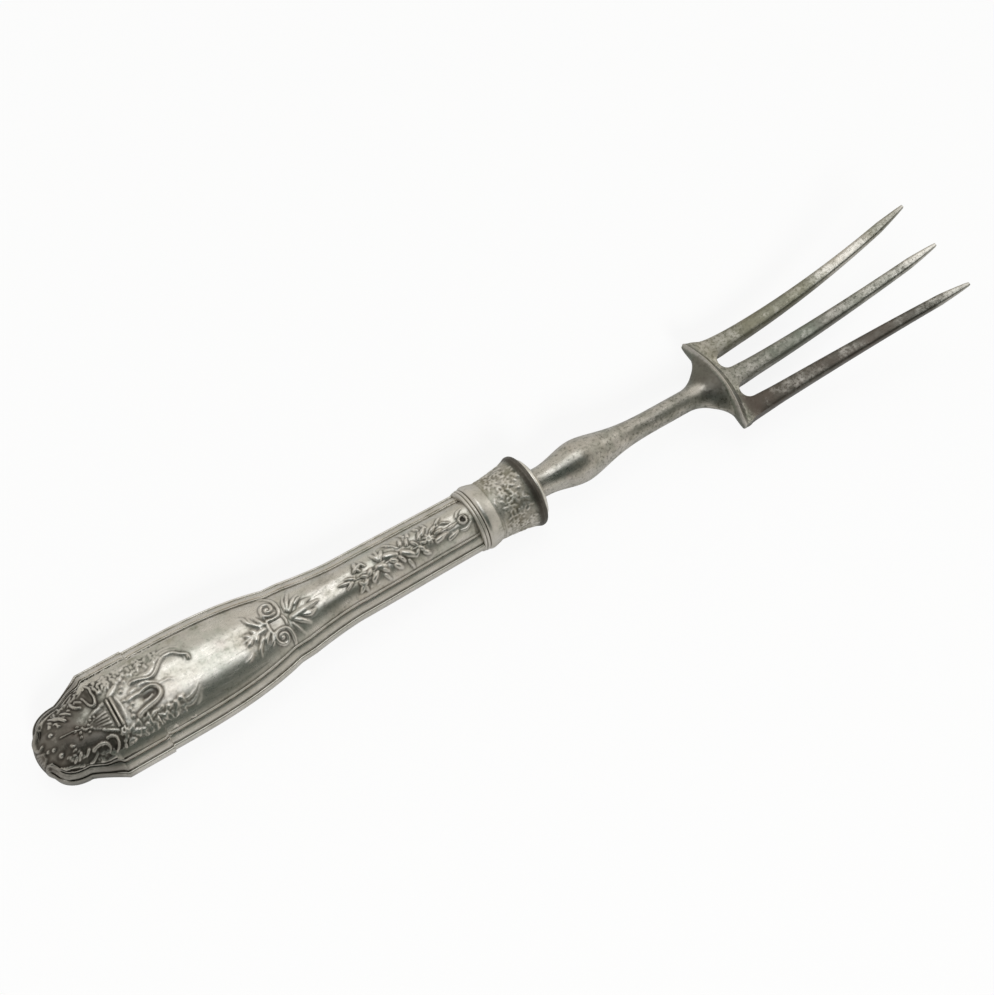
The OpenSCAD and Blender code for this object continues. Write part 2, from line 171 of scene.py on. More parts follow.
# The outline runs from the mouth along the far side, round the lobe and back along the near side.
angles = 90 - np.arange(lobeSteps + 1) * 90 / lobeSteps
lobeX = -handle["lobeMid"] - handle["lobe"] * np.cos(np.radians(angles)) * notch(angles)
lobeY = handle["lobeWidth"] / 2 * np.sin(np.radians(angles)) * notch(angles)
planX = mirrored(np.concatenate([-sideD, lobeX]))
planY = mirrored(np.concatenate([halfWidth(sideD), lobeY]), -1)
spineX = np.where(sideD < handle["fanFrom"], -sideD,
                  -mix(handle["fanFrom"], handle["spineEnd"],
                       (sideD - handle["fanFrom"]) / (handle["lobeMid"] - handle["fanFrom"])))
spineAll = mirrored(np.concatenate([spineX, np.full(lobeSteps + 1, -handle["spineEnd"])]))
toSpine = np.stack([spineAll - planX, -planY], 1)
spineRun = np.linalg.norm(toSpine, axis=1)
toSpine /= spineRun[:, None]
tube = np.zeros(lastStation + 1, bool)
tube[:sideCount] = sideD < handle["ring"]
tube[-sideCount:] = tube[:sideCount][::-1]

# Section of the border: bead, groove, flat band and double fillet, as distance in and height. The rings
# of the grid lie at the offsets. At the end of the lobe the section runs out into a plain rounding.
border = {
    "width": 3.1, "narrowing": 0.34, "narrowFrom": -117.2, "narrowOver": 3.5,
    "endHalf": 4.6, "endFade": 1.6, "runOut": 0.62,
    "offsets": (0, 0.02, 0.1, 0.26, 0.5, 0.74, 0.86, 0.95, 1.04, 1.3, 1.75, 2.15, 2.32, 2.41, 2.5, 2.6, 2.74,
                2.88, 3.0, 3.1),
    "profile": ((0, 0), (0.02, 0.7), (0.1, 1.1), (0.26, 1.38), (0.5, 1.5), (0.74, 1.36), (0.86, 1.2),
                (0.95, 1.25), (1.04, 1.85), (1.3, 2.2), (2.2, 3.1), (2.35, 3.1), (2.5, 2.85), (2.6, 2.95),
                (2.74, 3.45), (2.9, 3.55), (3.0, 3.48), (3.1, 3.3)),
}
borderOffset = np.array(border["offsets"])
borderHeight = np.interp(borderOffset, *np.transpose(border["profile"]))
borderCount = len(borderOffset)
ringCount = borderCount - 1 + handle["panelRings"]


def pillow(v):
    return 1 - clip01(1 - v / 0.8) ** 2.3


def handleGrid():
    grid = np.zeros((lastStation + 1, ringCount + 1, 3))
    tangent = np.gradient(np.stack([planX, planY], 1), axis=0)
    tangent /= np.linalg.norm(tangent, axis=1)[:, None] + 1e-9
    skew = np.maximum(0.72, np.abs(toSpine[:, 0] * tangent[:, 1] - toSpine[:, 1] * tangent[:, 0]))
    skew = np.convolve(np.pad(skew, 4, mode="edge"), np.ones(9) / 9, mode="valid")
    skew = skew / (1 - border["narrowing"] * ease((border["narrowFrom"] - planX) / border["narrowOver"]))
    top = crown(-spineAll)
    atEnd = ease((border["endHalf"] - np.abs(planY)) / border["endFade"]) * (planX < -handle["lobeMid"])
    for k in range(ringCount + 1):
        if k < borderCount:
            plain = borderHeight[-1] * (borderOffset[k] / border["width"]) ** border["runOut"]
            go, z = borderOffset[k] / skew, mix(borderHeight[k], plain, atEnd)
        else:
            v = (k - borderCount + 1) / handle["panelRings"]
            go, z = mix(border["width"] / skew, spineRun, v), mix(borderHeight[-1], top, pillow(v))
        a = math.radians(90 * k / ringCount)
        grid[:, k, 0] = np.where(tube, planX, planX + toSpine[:, 0] * go)
        grid[:, k, 1] = np.where(tube, planY * math.cos(a), planY + toSpine[:, 1] * go)
        grid[:, k, 2] = np.where(tube, crown(-planX) * math.sin(a), z)
    return grid


# Relief strokes: each one raises a rounded, ribboned or veined ridge along a path.
def flowing(points, per=7):
    p = np.array(points, float)
    if len(p) < 3:
        t = np.linspace(0, 1, per + 1)[:, None]
        return p[0] * (1 - t) + p[1] * t
    q = np.vstack([2 * p[0] - p[1], p, 2 * p[-1] - p[-2]])
    out = []
    for i in range(1, len(q) - 2):
        for t in np.arange(per) / per:
            a, b, c, d = q[i - 1:i + 3]
            out.append(0.5 * (2 * b + (c - a) * t + (2 * a - 5 * b + 4 * c - d) * t * t
                              + (3 * b - a - 3 * c + d) * t ** 3))
    return np.array(out + [p[-1]])


profiles = {
    "round": lambda r: 1 - r * r,
    "ribbon": lambda r: ease((1 - r) / 0.45) * (0.68 + 0.32 * r * r),
    "leaf": lambda r: ease((1 - r) / 0.6) * (0.55 + 0.6 * r),
}


class Die:
    def __init__(self, x, y):
        self.x, self.y = x.ravel(), y.ravel()
        self.shape = x.shape
        self.height = np.zeros(self.x.size)

    def stroke(self, points, width, height, kind="round", taper=(1, 1), smooth=True):
        p = flowing(points) if smooth else np.array(points, float)
        t = np.linspace(0, 1, len(p))
        widths = width * np.interp(t, [0, 0.5, 1], [taper[0], 1, taper[1]])
        heights = height * np.interp(t, [0, 0.5, 1], [max(0.35, taper[0]), 1, max(0.35, taper[1])])
        low, high = p.min(0) - width, p.max(0) + width
        pick = np.nonzero((self.x > low[0]) & (self.x < high[0]) & (self.y > low[1]) & (self.y < high[1]))[0]
        qx, qy = self.x[pick], self.y[pick]
        best = np.zeros(pick.size)
        for i in range(len(p) - 1):
            dx, dy = p[i + 1] - p[i]
            s = clip01(((qx - p[i, 0]) * dx + (qy - p[i, 1]) * dy) / (dx * dx + dy * dy + 1e-12))
            r = np.hypot(qx - p[i, 0] - s * dx, qy - p[i, 1] - s * dy) / mix(widths[i], widths[i + 1], s)
            value = np.where(r < 1, mix(heights[i], heights[i + 1], s) * profiles[kind](np.minimum(r, 1)), 0)
            best = np.maximum(best, value)
        self.height[pick] = np.maximum(self.height[pick], best)

    def leaf(self, x, y, angle, length, width, height, bend=0.15):
        a = math.radians(angle)
        ux, uy = math.cos(a), math.sin(a)
        mid = (x + ux * length * 0.5 - uy * length * bend, y + uy * length * 0.5 + ux * length * bend)
        self.stroke([(x, y), mid, (x + ux * length, y + uy * length)], width, height, "leaf", (0.45, 0.12))

    def volute(self, x, y, r, turns, start, sense, width, height):
        t = np.linspace(0, 1, 36)
        a = np.radians(start) + sense * t * turns * 2 * math.pi
        radius = r * (1 - t) ** 0.8 + 0.12 * r
        self.stroke(np.stack([x + radius * np.cos(a), y + radius * np.sin(a)], 1), width, height, "round",
                    (1, 0.7), smooth=False)
        self.stroke([(x - 0.01, y), (x + 0.01, y)], width * 1.15, height * 1.1, smooth=False)


# The ornament is drawn about this line, a little toward the near side as on the stamped halves.
ornament = {
    "axis": -1.0, "height": 0.62, "seed": 7,
    "buds": ((-121.5, 0.4, 0.36), (-122.3, -0.4, 0.3), (-121.4, -1.1, 0.42), (-121.7, -2.1, 0.36),
             (-120.6, -0.3, 0.32), (-120.1, -1.1, 0.4), (-119.2, -0.4, 0.34), (-118.8, -1.3, 0.36),
             (-118.4, 0.3, 0.34), (-117.3, 0.6, 0.3), (-119.6, -2.0, 0.3), (-127.3, 2.2, 0.56),
             (-127.3, -3.1, 0.62), (-128.1, -1.1, 0.46), (-129.4, -0.6, 0.36), (-109.6, -1.9, 0.42),
             (-109.3, -2.8, 0.4), (-109.8, -3.8, 0.42), (-108.6, -1.2, 0.4), (-110.0, 0.4, 0.4),
             (-108.9, 3.6, 0.42), (-107.9, 4.5, 0.4), (-109.6, 2.7, 0.42)),
    # petals and leaves of the neck: from, to, half width
    "chute": (
        (-52.0, -0.8, -54.3, -0.4, 0.46), (-51.4, -1.2, -53.2, -2.1, 0.4), (-50.6, -0.6, -52.4, 0.3, 0.4),
        (-49.0, 1.4, -49.8, 0.8, 0.52), (-49.0, 1.7, -48.6, 2.9, 0.52), (-48.7, 1.5, -47.6, 1.9, 0.5),
        (-48.8, 1.2, -48.4, 0.4, 0.45), (-49.3, -3.1, -50.4, -3.9, 0.52), (-49.3, -2.9, -49.7, -2.0, 0.46),
        (-49.0, -2.9, -48.0, -2.5, 0.52), (-49.1, -3.3, -48.7, -4.2, 0.5), (-48.6, -1.0, -47.4, -1.6, 0.45),
        (-46.7, -1.3, -45.9, -0.4, 0.62), (-46.4, -3.0, -44.8, -1.9, 0.62), (-44.0, -0.9, -42.6, -1.4, 1.0),
        (-43.2, -2.1, -42.3, -2.8, 0.5), (-43.2, 0.4, -44.2, 2.7, 0.46), (-43.0, 0.5, -42.8, 3.0, 0.4),
        (-42.8, 0.5, -41.5, 2.2, 0.62), (-41.3, 0.5, -38.8, -0.3, 1.05), (-40.5, -1.1, -39.4, -1.8, 0.62),
        (-39.9, -2.6, -38.9, -3.6, 0.7), (-38.3, -1.5, -37.6, -2.7, 0.5), (-37.1, -0.7, -34.9, -2.6, 0.95),
        (-36.8, 1.1, -36.2, 2.5, 0.46), (-35.4, 0.4, -34.8, 1.7, 0.42), (-34.2, 2.1, -33.7, 3.2, 0.42),
        (-33.9, 0.3, -33.2, -0.9, 0.52), (-33.6, -2.1, -34.6, -3.0, 0.46), (-32.8, -1.7, -32.2, -2.6, 0.58),
        (-32.3, -3.1, -31.2, -3.8, 0.58), (-32.0, -0.9, -31.0, -1.3, 0.46), (-32.0, 0.3, -31.2, 1.7, 0.5),
        (-30.9, 0.9, -29.8, 2.0, 0.58), (-31.2, 2.4, -31.9, 3.4, 0.4), (-28.6, 0.4, -27.2, 1.1, 0.52),
        (-27.8, -0.6, -26.3, -0.4, 0.5), (-28.4, -2.3, -25.9, -1.9, 0.68), (-26.6, 1.5, -25.0, 2.5, 0.36),
        (-25.3, 0.9, -23.8, 0.2, 0.36), (-25.3, -3.3, -22.8, -2.7, 0.44), (-24.6, -1.1, -22.5, -0.9, 0.36),
        (-43.4, -3.3, -42.6, -4.5, 0.32), (-36.7, -3.1, -36.1, -4.7, 0.42), (-46.8, 1.0, -47.6, 2.5, 0.32),
        (-39.2, 2.2, -40.1, 3.5, 0.32), (-34.9, 2.8, -35.8, 4.1, 0.3), (-29.3, 2.0, -29.6, 3.5, 0.32)),
    # acanthus about the cartouche: path, half width, height
    "acanthus": (
        (((-67.5, -1.3), (-65.4, -1.1), (-63.2, -0.9), (-60.7, -0.7)), 1.35, 1.15),
        (((-65.8, -0.7), (-63.8, 0.5), (-62.0, 0.8)), 0.95, 1.0),
        (((-65.6, -1.7), (-63.6, -2.4), (-61.9, -2.3)), 0.9, 1.0),
        (((-67.4, -2.0), (-66.2, -2.9), (-64.5, -4.4)), 0.76, 1.0),
        (((-67.6, 0.3), (-66.4, 1.5), (-65.4, 2.4), (-63.9, 3.1)), 0.56, 1.0),
        (((-67.9, 0.6), (-67.0, 2.6), (-65.5, 5.0)), 0.54, 1.0),
        (((-68.3, 0.9), (-67.9, 2.8), (-67.0, 4.5)), 0.42, 0.9),
        (((-65.7, 1.2), (-64.6, 1.9), (-63.5, 2.3)), 0.4, 0.8),
        (((-68.2, -2.7), (-67.6, -4.4), (-66.6, -6.0)), 0.42, 0.5),
        (((-74.0, 0.3), (-74.8, 1.5), (-75.4, 3.0)), 0.54, 1.0),
        (((-74.6, 0.2), (-76.2, 1.6), (-76.9, 3.9)), 0.46, 0.9),
        (((-75.2, 0.0), (-77.2, 2.4), (-77.8, 4.2), (-79.0, 5.0)), 0.46, 0.8),
        (((-73.4, 1.6), (-73.9, 2.9)), 0.36, 0.7),
        (((-74.2, -2.0), (-75.3, -2.9), (-76.0, -4.0)), 0.6, 1.0),
        (((-73.6, -2.9), (-74.3, -4.3), (-75.1, -5.0)), 0.46, 0.8),
        (((-76.4, -3.0), (-77.8, -4.4), (-78.4, -6.0)), 0.5, 0.7),
        (((-79.9, -4.6), (-81.0, -5.3), (-82.2, -5.6)), 0.4, 0.6),
        (((-74.6, -0.7), (-77.2, -0.9), (-80.5, -1.2)), 0.8, 0.7),
        (((-76.6, -0.6), (-77.8, 0.8)), 0.7, 0.8), (((-76.8, -1.2), (-78.0, -2.6)), 0.75, 0.8),
        (((-78.0, -0.9), (-79.6, 0.3)), 0.7, 0.75), (((-78.2, -1.4), (-80.2, -2.6)), 0.7, 0.75),
        (((-75.8, -2.3), (-77.2, -3.6)), 0.6, 0.75)),
    # loops pierced to the ground, sunk and painted dark there as shade: centre, half sizes, depth
    "pits": ((-104.6, -1.1, 1.9, 0.75, 0.3), (-20.3, -0.9, 0.5, 0.45, 0.25), (-116.2, 6.4, 0.6, 1.6, 0.12),
             (-116.2, -8.0, 0.6, 1.6, 0.12), (-71.9, -0.85, 1.2, 0.7, 0.08)),
}


def stampFace(die):
    rnd = random.Random(ornament["seed"])
    mid, tall = ornament["axis"], ornament["height"]

    def s(points, width, height, kind="round", taper=(1, 1), smooth=True):
        die.stroke(points, width, height * tall, kind, taper, smooth)

    def twin(points, width, height, kind="round", taper=(1, 1)):
        s(points, width, height, kind, taper)
        s([(x, 2 * mid - y) for x, y in points], width, height, kind, taper)

    # butt: fluted shell between two hooked scrolls, with leaves along both scrolls
    for a in (-50, -25, 0, 25, 50):
        c, v = math.cos(math.radians(a)), math.sin(math.radians(a))
        s([(-129.9 - 0.6 * c, mid + 0.8 * v), (-130.5 - 1.8 * c, mid + 1.9 * v)], 0.4, 0.7,
          "round", (0.6, 1))
    twin([(-130.0, 1.3), (-130.7, 0.9), (-131.3, 1.5), (-131.3, 2.6), (-130.6, 4.0), (-129.3, 5.4),
          (-127.4, 6.5), (-125.0, 7.1)], 0.5, 1.25, "round", (0.7, 0.4))
    s([(-126.3, 6.1), (-125.2, 5.1), (-124.0, 4.3), (-123.1, 3.3)], 0.55, 1.15, "leaf", (0.3, 0.9))
    s([(-123.5, 5.5), (-122.5, 4.8), (-121.5, 4.0)], 0.42, 1.05, "leaf", (0.3, 0.8))
    s([(-120.5, 6.9), (-120.4, 5.7), (-119.8, 4.7), (-118.9, 4.2)], 0.46, 1.1, "leaf", (0.5, 0.8))
    s([(-119.7, 6.7), (-118.9, 5.9), (-118.2, 5.4)], 0.28, 0.6, "round", (0.4, 0.8))
    s([(-117.7, 6.2), (-117.3, 4.9), (-116.9, 3.6), (-116.2, 2.9), (-115.6, 3.3), (-115.2, 4.6),
       (-115.3, 6.1), (-115.2, 7.5), (-115.9, 8.7)], 0.4, 1.15, "round", (0.5, 0.6))
    s([(-118.4, 9.0), (-117.4, 9.6)], 0.4, 0.8, "round", (0.5, 0.8))
    s([(-116.4, 9.3), (-115.8, 8.6)], 0.34, 0.7)
    s([(-128.9, 4.9), (-127.0, 6.4), (-125.0, 7.1), (-122.4, 7.7), (-119.9, 8.7), (-118.0, 9.8)], 0.26, 0.5)
    s([(-130.5, -2.9), (-129.7, -4.1), (-129.0, -5.1), (-127.6, -6.0), (-126.2, -6.4), (-125.2, -6.8),
       (-124.0, -7.4)], 0.32, 0.85, "round", (0.6, 0.5))
    s([(-127.4, -6.9), (-125.1, -7.6), (-123.2, -7.7), (-121.4, -7.4), (-120.2, -6.7)], 0.3, 0.75,
      "round", (0.4, 0.7))
    s([(-125.4, -5.9), (-124.6, -5.4)], 0.34, 0.8)
    s([(-124.2, -5.6), (-123.4, -5.0)], 0.34, 0.8)
    s([(-122.7, -6.1), (-121.6, -5.2)], 0.4, 1.0, "leaf", (0.5, 0.9))
    s([(-120.8, -5.9), (-119.9, -5.6), (-118.6, -5.5), (-117.6, -6.0), (-117.3, -7.0), (-117.9, -7.8)],
       0.42, 1.1, "round", (0.8, 0.5))
    s([(-117.0, -5.1), (-115.9, -5.1), (-115.1, -6.0), (-115.3, -7.3), (-116.1, -8.3), (-117.4, -8.9),
       (-119.4, -8.9), (-121.2, -8.4)], 0.36, 1.0, "round", (0.8, 0.5))
    s([(-123.4, -8.6), (-121.0, -9.3), (-119.0, -9.7)], 0.26, 0.5)
    s([(-118.6, -10.0), (-117.6, -9.8), (-116.4, -10.2)], 0.34, 0.75)
    for i in range(4):
        s([(-125.6 + 1.5 * i, -6.7 - 0.35 * i), (-123.4 + 1.3 * i, -7.9 - 0.3 * i),
           (-120.6 + 1.1 * i, -8.5 - 0.25 * i)], 0.24, 0.7, "leaf", (0.4, 0.7))
        s([(-124.4 + 1.9 * i, 5.9 + 0.3 * i), (-122.6 + 1.8 * i, 6.7 + 0.4 * i),
           (-121.2 + 1.7 * i, 8.0 + 0.3 * i)], 0.24, 0.6, "leaf", (0.4, 0.7))
    s([(-116.9, -3.1), (-115.4, -4.0), (-113.8, -5.0)], 0.5, 0.6, "ribbon", (0.6, 0.6))
    for i in range(90):
        side = 1 - 2 * (i % 2)
        x = rnd.uniform(-126.8, -115.2)
        y = side * (np.interp(x, [-127, -124, -116], [4.9, 6.2, 10.0]) - abs(rnd.gauss(0, 1.2)))
        die.leaf(x, y, side * 20 + rnd.gauss(0, 45) + 180 * (i % 3 == 0), rnd.uniform(0.7, 1.6),
                 rnd.uniform(0.22, 0.36), tall * rnd.uniform(0.3, 0.75))
    # stem with buds, the sheaf of feathered shafts and the twin bars
    s([(-125.6, 0.3), (-123.8, 0.1), (-122.2, -0.1), (-120.6, -0.7), (-119.2, -1.2)], 0.2, 0.5)
    for x, y, r in ornament["buds"]:
        die.stroke([(x - 0.01, y), (x + 0.01, y)], r, 0.75 * tall, smooth=False)
    for i in range(5):
        y = 0.9 * (2 - i)
        s([(-119.0, mid - 0.1 + 0.3 * y), (-117.0, mid - 0.3 + 0.75 * y), (-114.6, mid - 0.5 + y)],
          0.25, 0.3)
    s([(-119.2, 0.5), (-117.0, 1.5), (-114.4, 2.3)], 0.5, 0.35, "ribbon", (0.4, 1))
    for x in (-113.4, -112.45):
        s([(x + 0.15, 2.4), (x, -4.0)], 0.42, 1.25, "round", (0.95, 0.95), smooth=False)
    s([(-111.3, 2.2), (-110.9, -0.2), (-111.2, -3.4)], 0.36, 0.4, "ribbon", (0.8, 0.8))
    s([(-112.3, 3.2), (-111.2, 3.9), (-110.0, 4.7)], 0.8, 0.55, "ribbon", (0.8, 0.7))
    # looped bow, with a fluttering ribbon above and three below
    s([(-105.8, 0.3), (-104.6, 0.6), (-103.2, 0.5), (-102.2, -0.2), (-101.8, -1.4), (-102.4, -2.5),
       (-103.9, -3.2), (-105.5, -3.5), (-107.3, -3.9), (-108.4, -4.3)], 0.5, 1.5, "ribbon", (0.6, 1.3))
    s([(-105.6, 2.0), (-104.2, 1.9), (-102.8, 1.3), (-101.6, 0.5)], 0.3, 0.7, "round", (0.6, 0.5))
    s([(-105.9, -2.1), (-104.8, -1.9), (-103.9, -1.5)], 0.3, 0.5)
    s([(-108.9, 0.1), (-107.4, 0.3), (-106.4, 0.2)], 0.75, 0.5)
    s([(-107.9, 1.4), (-106.7, 1.6)], 0.5, 0.5)
    s([(-106.9, 3.2), (-105.6, 3.2), (-104.2, 2.8), (-102.8, 2.3), (-101.6, 2.4), (-100.4, 3.2),
       (-99.0, 4.5), (-97.6, 5.2), (-96.3, 5.3), (-95.1, 4.8), (-94.2, 3.9), (-93.2, 3.3), (-92.7, 2.8),
       (-92.8, 2.0)], 0.32, 1.0)
    s([(-105.4, 4.0), (-103.9, 3.6), (-102.2, 3.4), (-100.8, 4.3), (-99.2, 5.6), (-96.6, 6.3),
       (-94.6, 5.4)], 0.95, 0.42, "round", (0.6, 0.5))
    s([(-101.6, 5.4), (-99.6, 6.5), (-97.4, 7.1), (-95.2, 6.8), (-93.6, 5.8)], 0.26, 0.45,
      "round", (0.5, 0.5))
    for drop, fall in ((0, 0.6), (1.5, 0.55), (2.9, 0.4)):
        s([(-101.6, -4.6 - drop), (-99.2, -5.6 - drop), (-97.0, -6.0 - 0.9 * drop),
           (-95.2, -5.4 - 0.7 * drop), (-93.8, -4.3 - 0.5 * drop)], 0.34, fall, "ribbon", (0.5, 0.4))
    s([(-101.2, 0.0), (-99.4, 0.0), (-98.2, -0.5), (-97.7, -1.0)], 0.22, 0.3, "round", (0.6, 0.4))
    s([(-94.4, 4.0), (-93.5, 2.6), (-94.2, 1.6)], 0.22, 0.35, "round", (0.6, 0.4))
    # garlands of flowers hanging on both sides
    for x, y, r in ((-111.9, 7.6, 1.2), (-108.2, 8.0, 1.1), (-103.6, 8.3, 1.2), (-106.9, -8.2, 1.5),
                    (-110.4, -7.3, 1.1), (-102.4, -8.6, 1.1)):
        for i in range(6):
            die.leaf(x, y, 60 * i + 25, r, 0.36, 0.8 * tall, 0)
    for low, high, leans in ((4.6, 9.9, (70, 105)), (-10.0, -5.2, (-25, 30))):
        for i in range(165):
            x, y = rnd.uniform(-114.3, -98.0), rnd.uniform(low, high)
            die.leaf(x, y, rnd.gauss(leans[i % 2], 38), rnd.uniform(0.7, 1.8), rnd.uniform(0.22, 0.4),
                     tall * rnd.uniform(0.4, 1.15))
    # volutes and bars round the cartouche at the kink, with acanthus on both sides
    twin([(-75.6, 8.6), (-73.2, 7.9), (-71.3, 6.8), (-70.0, 5.3), (-69.5, 3.4), (-69.6, 1.7), (-70.3, 0.7),
          (-71.8, 0.5), (-73.2, 0.8)], 0.42, 0.75, "ribbon", (0.3, 0.9))
    for w, y in ((1, 3.4), (-1, -4.4)):
        die.volute(-71.8, y, 1.75, 1.5, w * -60, -w, 0.36, 0.8 * tall)
    s([(-69.5, 0.2), (-69.3, -1.0), (-69.5, -2.2)], 0.3, 0.6)
    s([(-73.5, 0.4), (-73.7, -1.0), (-73.5, -2.4)], 0.32, 0.6)
    for path, width, height in ornament["acanthus"]:
        s(path, width, height, "round" if width > 1 else "leaf", (0.75, 0.3))
    # chute of blossoms along the neck, hung from a ring
    s([(-51.5, -0.8), (-46.0, -1.2), (-40.0, -0.9), (-34.0, -1.3), (-28.0, -1.0), (-21.6, -0.8)], 0.2, 0.3)
    s([(-40.5, 3.4), (-38.8, 2.3), (-37.6, 0.8)], 0.2, 0.5)
    for x, y, u, v, w in ornament["chute"]:
        s([(x, y), (u, v)], w * 1.15, 1.1, "leaf" if w < 0.48 else "round", (0.85, 0.6))
    for i in range(8):
        die.leaf(-29.9, -0.9, 45 * i + 10, 1.6, 0.36, 0.8 * tall, 0)
    for i in range(26):
        die.leaf(rnd.uniform(-51, -22.5), mid + rnd.gauss(0, 1.5), rnd.uniform(0, 360),
                 rnd.uniform(0.7, 1.4), 0.28, rnd.uniform(0.25, 0.5) * tall)
    s([(-19.3, -0.9), (-19.7, -0.1), (-20.5, 0.0), (-21.2, -0.5), (-21.2, -1.3), (-20.5, -1.8),
       (-19.7, -1.7), (-19.3, -0.9)], 0.32, 1.05)
    s([(-22.0, -2.9), (-20.4, -3.1), (-18.7, -2.3)], 0.36, 0.75, "ribbon", (0.6, 0.4))
    s([(-21.5, 0.3), (-20.6, 1.3), (-19.0, 1.9)], 0.36, 0.75, "ribbon", (0.8, 0.4))


def stampFlare(die):
    rnd = random.Random(ornament["seed"] + 4)
    for i in range(17):
        y = -17 + i * 2.1
        for k in range(6):
            die.leaf(-8.6 + (i % 2) * 2.4, y, 60 * k + 13 * i, 1.3, 0.42, 0.34, 0)
    for i in range(230):
        die.leaf(rnd.uniform(-11.2, -3.4), rnd.uniform(-18, 18), rnd.gauss(-40, 45), rnd.uniform(0.9, 1.9),
                 rnd.uniform(0.3, 0.44), rnd.uniform(0.14, 0.34), rnd.uniform(-0.3, 0.3))


def averaged(a, times):
    for _ in range(times):
        p = np.pad(a, ((1, 1), (1, 1)) + ((0, 0),) * (a.ndim - 2), mode="edge")
        a = (p[:-2, 1:-1] + 2 * p[1:-1, 1:-1] + p[2:, 1:-1]) / 4
        p = np.pad(a, ((0, 0), (1, 1)) + ((0, 0),) * (a.ndim - 2), mode="edge")
        a = (p[:, :-2] + 2 * p[:, 1:-1] + p[:, 2:]) / 4
    return a


def blot(x, y, atX, atY, long, wide):
    return np.exp(-((x - atX) / long) ** 2 - ((y - atY) / wide) ** 2)


outer = handleGrid()
gridX, gridY = outer[..., 0], outer[..., 1]
faceDie = Die(gridX, gridY)
stampFace(faceDie)
ringIndex = np.arange(ringCount + 1)[None, :]
inTube = tube[:, None]
inPanel = np.where(inTube, 0.0, ease((ringIndex - borderCount + 2) / 3))
# round the end of the butt the scrolls run on over the border
atButt = ease((-126.0 - gridX) / 1.6) * ease((8.4 - np.abs(gridY)) / 1.2) * (ringIndex > 4)
inPanel = np.maximum(inPanel, atButt)
relief = faceDie.height.reshape(gridX.shape) * inPanel
arc = np.sign(gridY) * np.abs(planY)[:, None] * np.radians(90 - 90 * ringIndex / ringCount)
flareDie = Die(gridX, arc)
stampFlare(flareDie)
chased = inTube & (gridX < -2.5) & (gridX > -11.6)
relief += np.where(chased, flareDie.height.reshape(gridX.shape), 0) * ease(ringIndex / 3)
pits = 0 * relief
for x, y, long, wide, depth in ornament["pits"]:
    pits = np.maximum(pits, depth * blot(gridX, gridY, x, y, long, wide) * inPanel)
relief = averaged(relief, 1) - pits * ease((0.5 - relief) / 0.4)
print("relief drawn, highest", round(float(relief.max()), 2), "mm")

normal = np.cross(np.gradient(outer, axis=1), np.gradient(outer, axis=0))
normal /= np.linalg.norm(normal, axis=2)[..., None] + 1e-9
if normal[..., 2].sum() < 0:
    normal = -normal
raised = outer + normal * relief[..., None]
hollow = ((averaged(raised, 4) - raised) * normal).sum(2)
wideHollow = ((averaged(raised, 20) - raised) * normal).sum(2)

# Hollows are darkened, partly by oxide left in them and partly as painted shade, crests are worn bright and
# oxide is left, from 0 to 1 over the grid.
inBorder = (ringIndex < borderCount) & ~inTube
butt = ease((-108 - gridX) / 11)
atRim = ease((gridX + 3.5) / 1.7) * inTube
onFlare = inTube * ease((gridX + 12.6) / 0.6) * (1 - atRim)
onRing = inTube * ease((-12.2 - gridX) / 0.5)
rubbed = blot(gridX, gridY, -118.5, 1.8, 2.4, 1.8) + blot(gridX, gridY, -112.4, 4.6, 1.8, 1.8)
nearby = averaged((relief > 0.04).astype(float), 9)
# painted shade beside the oxide: recess darkens hollows and broad dips; in the border it is capped and
# halved on the far side, and it is eased where the panel meets the ring
recess = clip01(hollow / 0.055) * mix(0.46, 0.6, butt) + clip01(wideHollow / 0.3) * 0.3
recess = np.where(inBorder, np.clip(recess, 0, 0.36) * (1 - 0.5 * (gridY > 0)), recess)
recess = recess * (1 - 0.6 * ease(1 - np.abs(gridX + 18.3) / 1.1))
crest = clip01(-hollow / 0.045) * 0.85 + clip01((relief - 0.12) / 0.4) * 0.4
crest = clip01(crest) * (1 - 0.85 * atRim) * np.where(inBorder, 0.6, 1) * (1 - 0.3 * butt)
# oxide is thick and brown at the butt and the rim, thin and olive at the flare
# painted shade: the bump round x = -57 adds oxide colour that dulls the highlight along the neck
soot = butt * (0.93 - 0.42 * rubbed) + 0.3 * nearby * inPanel + 0.25 * np.exp(-((gridX + 57) / 5) ** 2)
soot = soot + 0.85 * atRim + 0.38 * onFlare - 0.4 * inBorder * (1 - 0.8 * butt)
# painted shade with the oxide: the outer bead of the border is darkened toward the butt
soot = soot + 0.5 * inBorder * (ringIndex < 9) * ease((-117 - gridX) / 5)
wearAndShading = {
    "relief": relief,
    # recess takes in the rim, and the sunk loops as painted shade
    "recess": np.clip(recess + 0.45 * atRim + 2.2 * pits, 0, 0.88),
    "crest": crest,
    "ground": clip01(nearby * (relief < 0.15) * inPanel + 0.5 * onFlare + 0.12 * onRing),
    "soot": clip01(soot) * (1 - 0.6 * crest),
    "hue": 0.45 + 0.55 * butt * (1 - 0.7 * rubbed) - 0.3 * onFlare + 0.45 * atRim,
}


# Objects and meshes: linking, quads over a grid of vertex numbers, attributes, outward normals.
def link(name, data):
    obj = bpy.data.objects.new(name, data)
    bpy.context.collection.objects.link(obj)
    return obj


def sheet(grid):
    quads = np.stack([grid[:-1, :-1], grid[1:, :-1], grid[1:, 1:], grid[:-1, 1:]], -1)
    return quads.reshape(-1, 4).tolist()


def closedSheets(tops, lows):
    sides = [sheet(np.stack([tops[:, i], lows[:, i]])) for i in (0, -1)]
    return sheet(tops) + sheet(lows.T) + sides[0] + sides[1]


def paint(mesh, name, values):
    layer = mesh.attributes.new(name, "FLOAT", "POINT")
    layer.data.foreach_set("value", values.astype(np.float32))


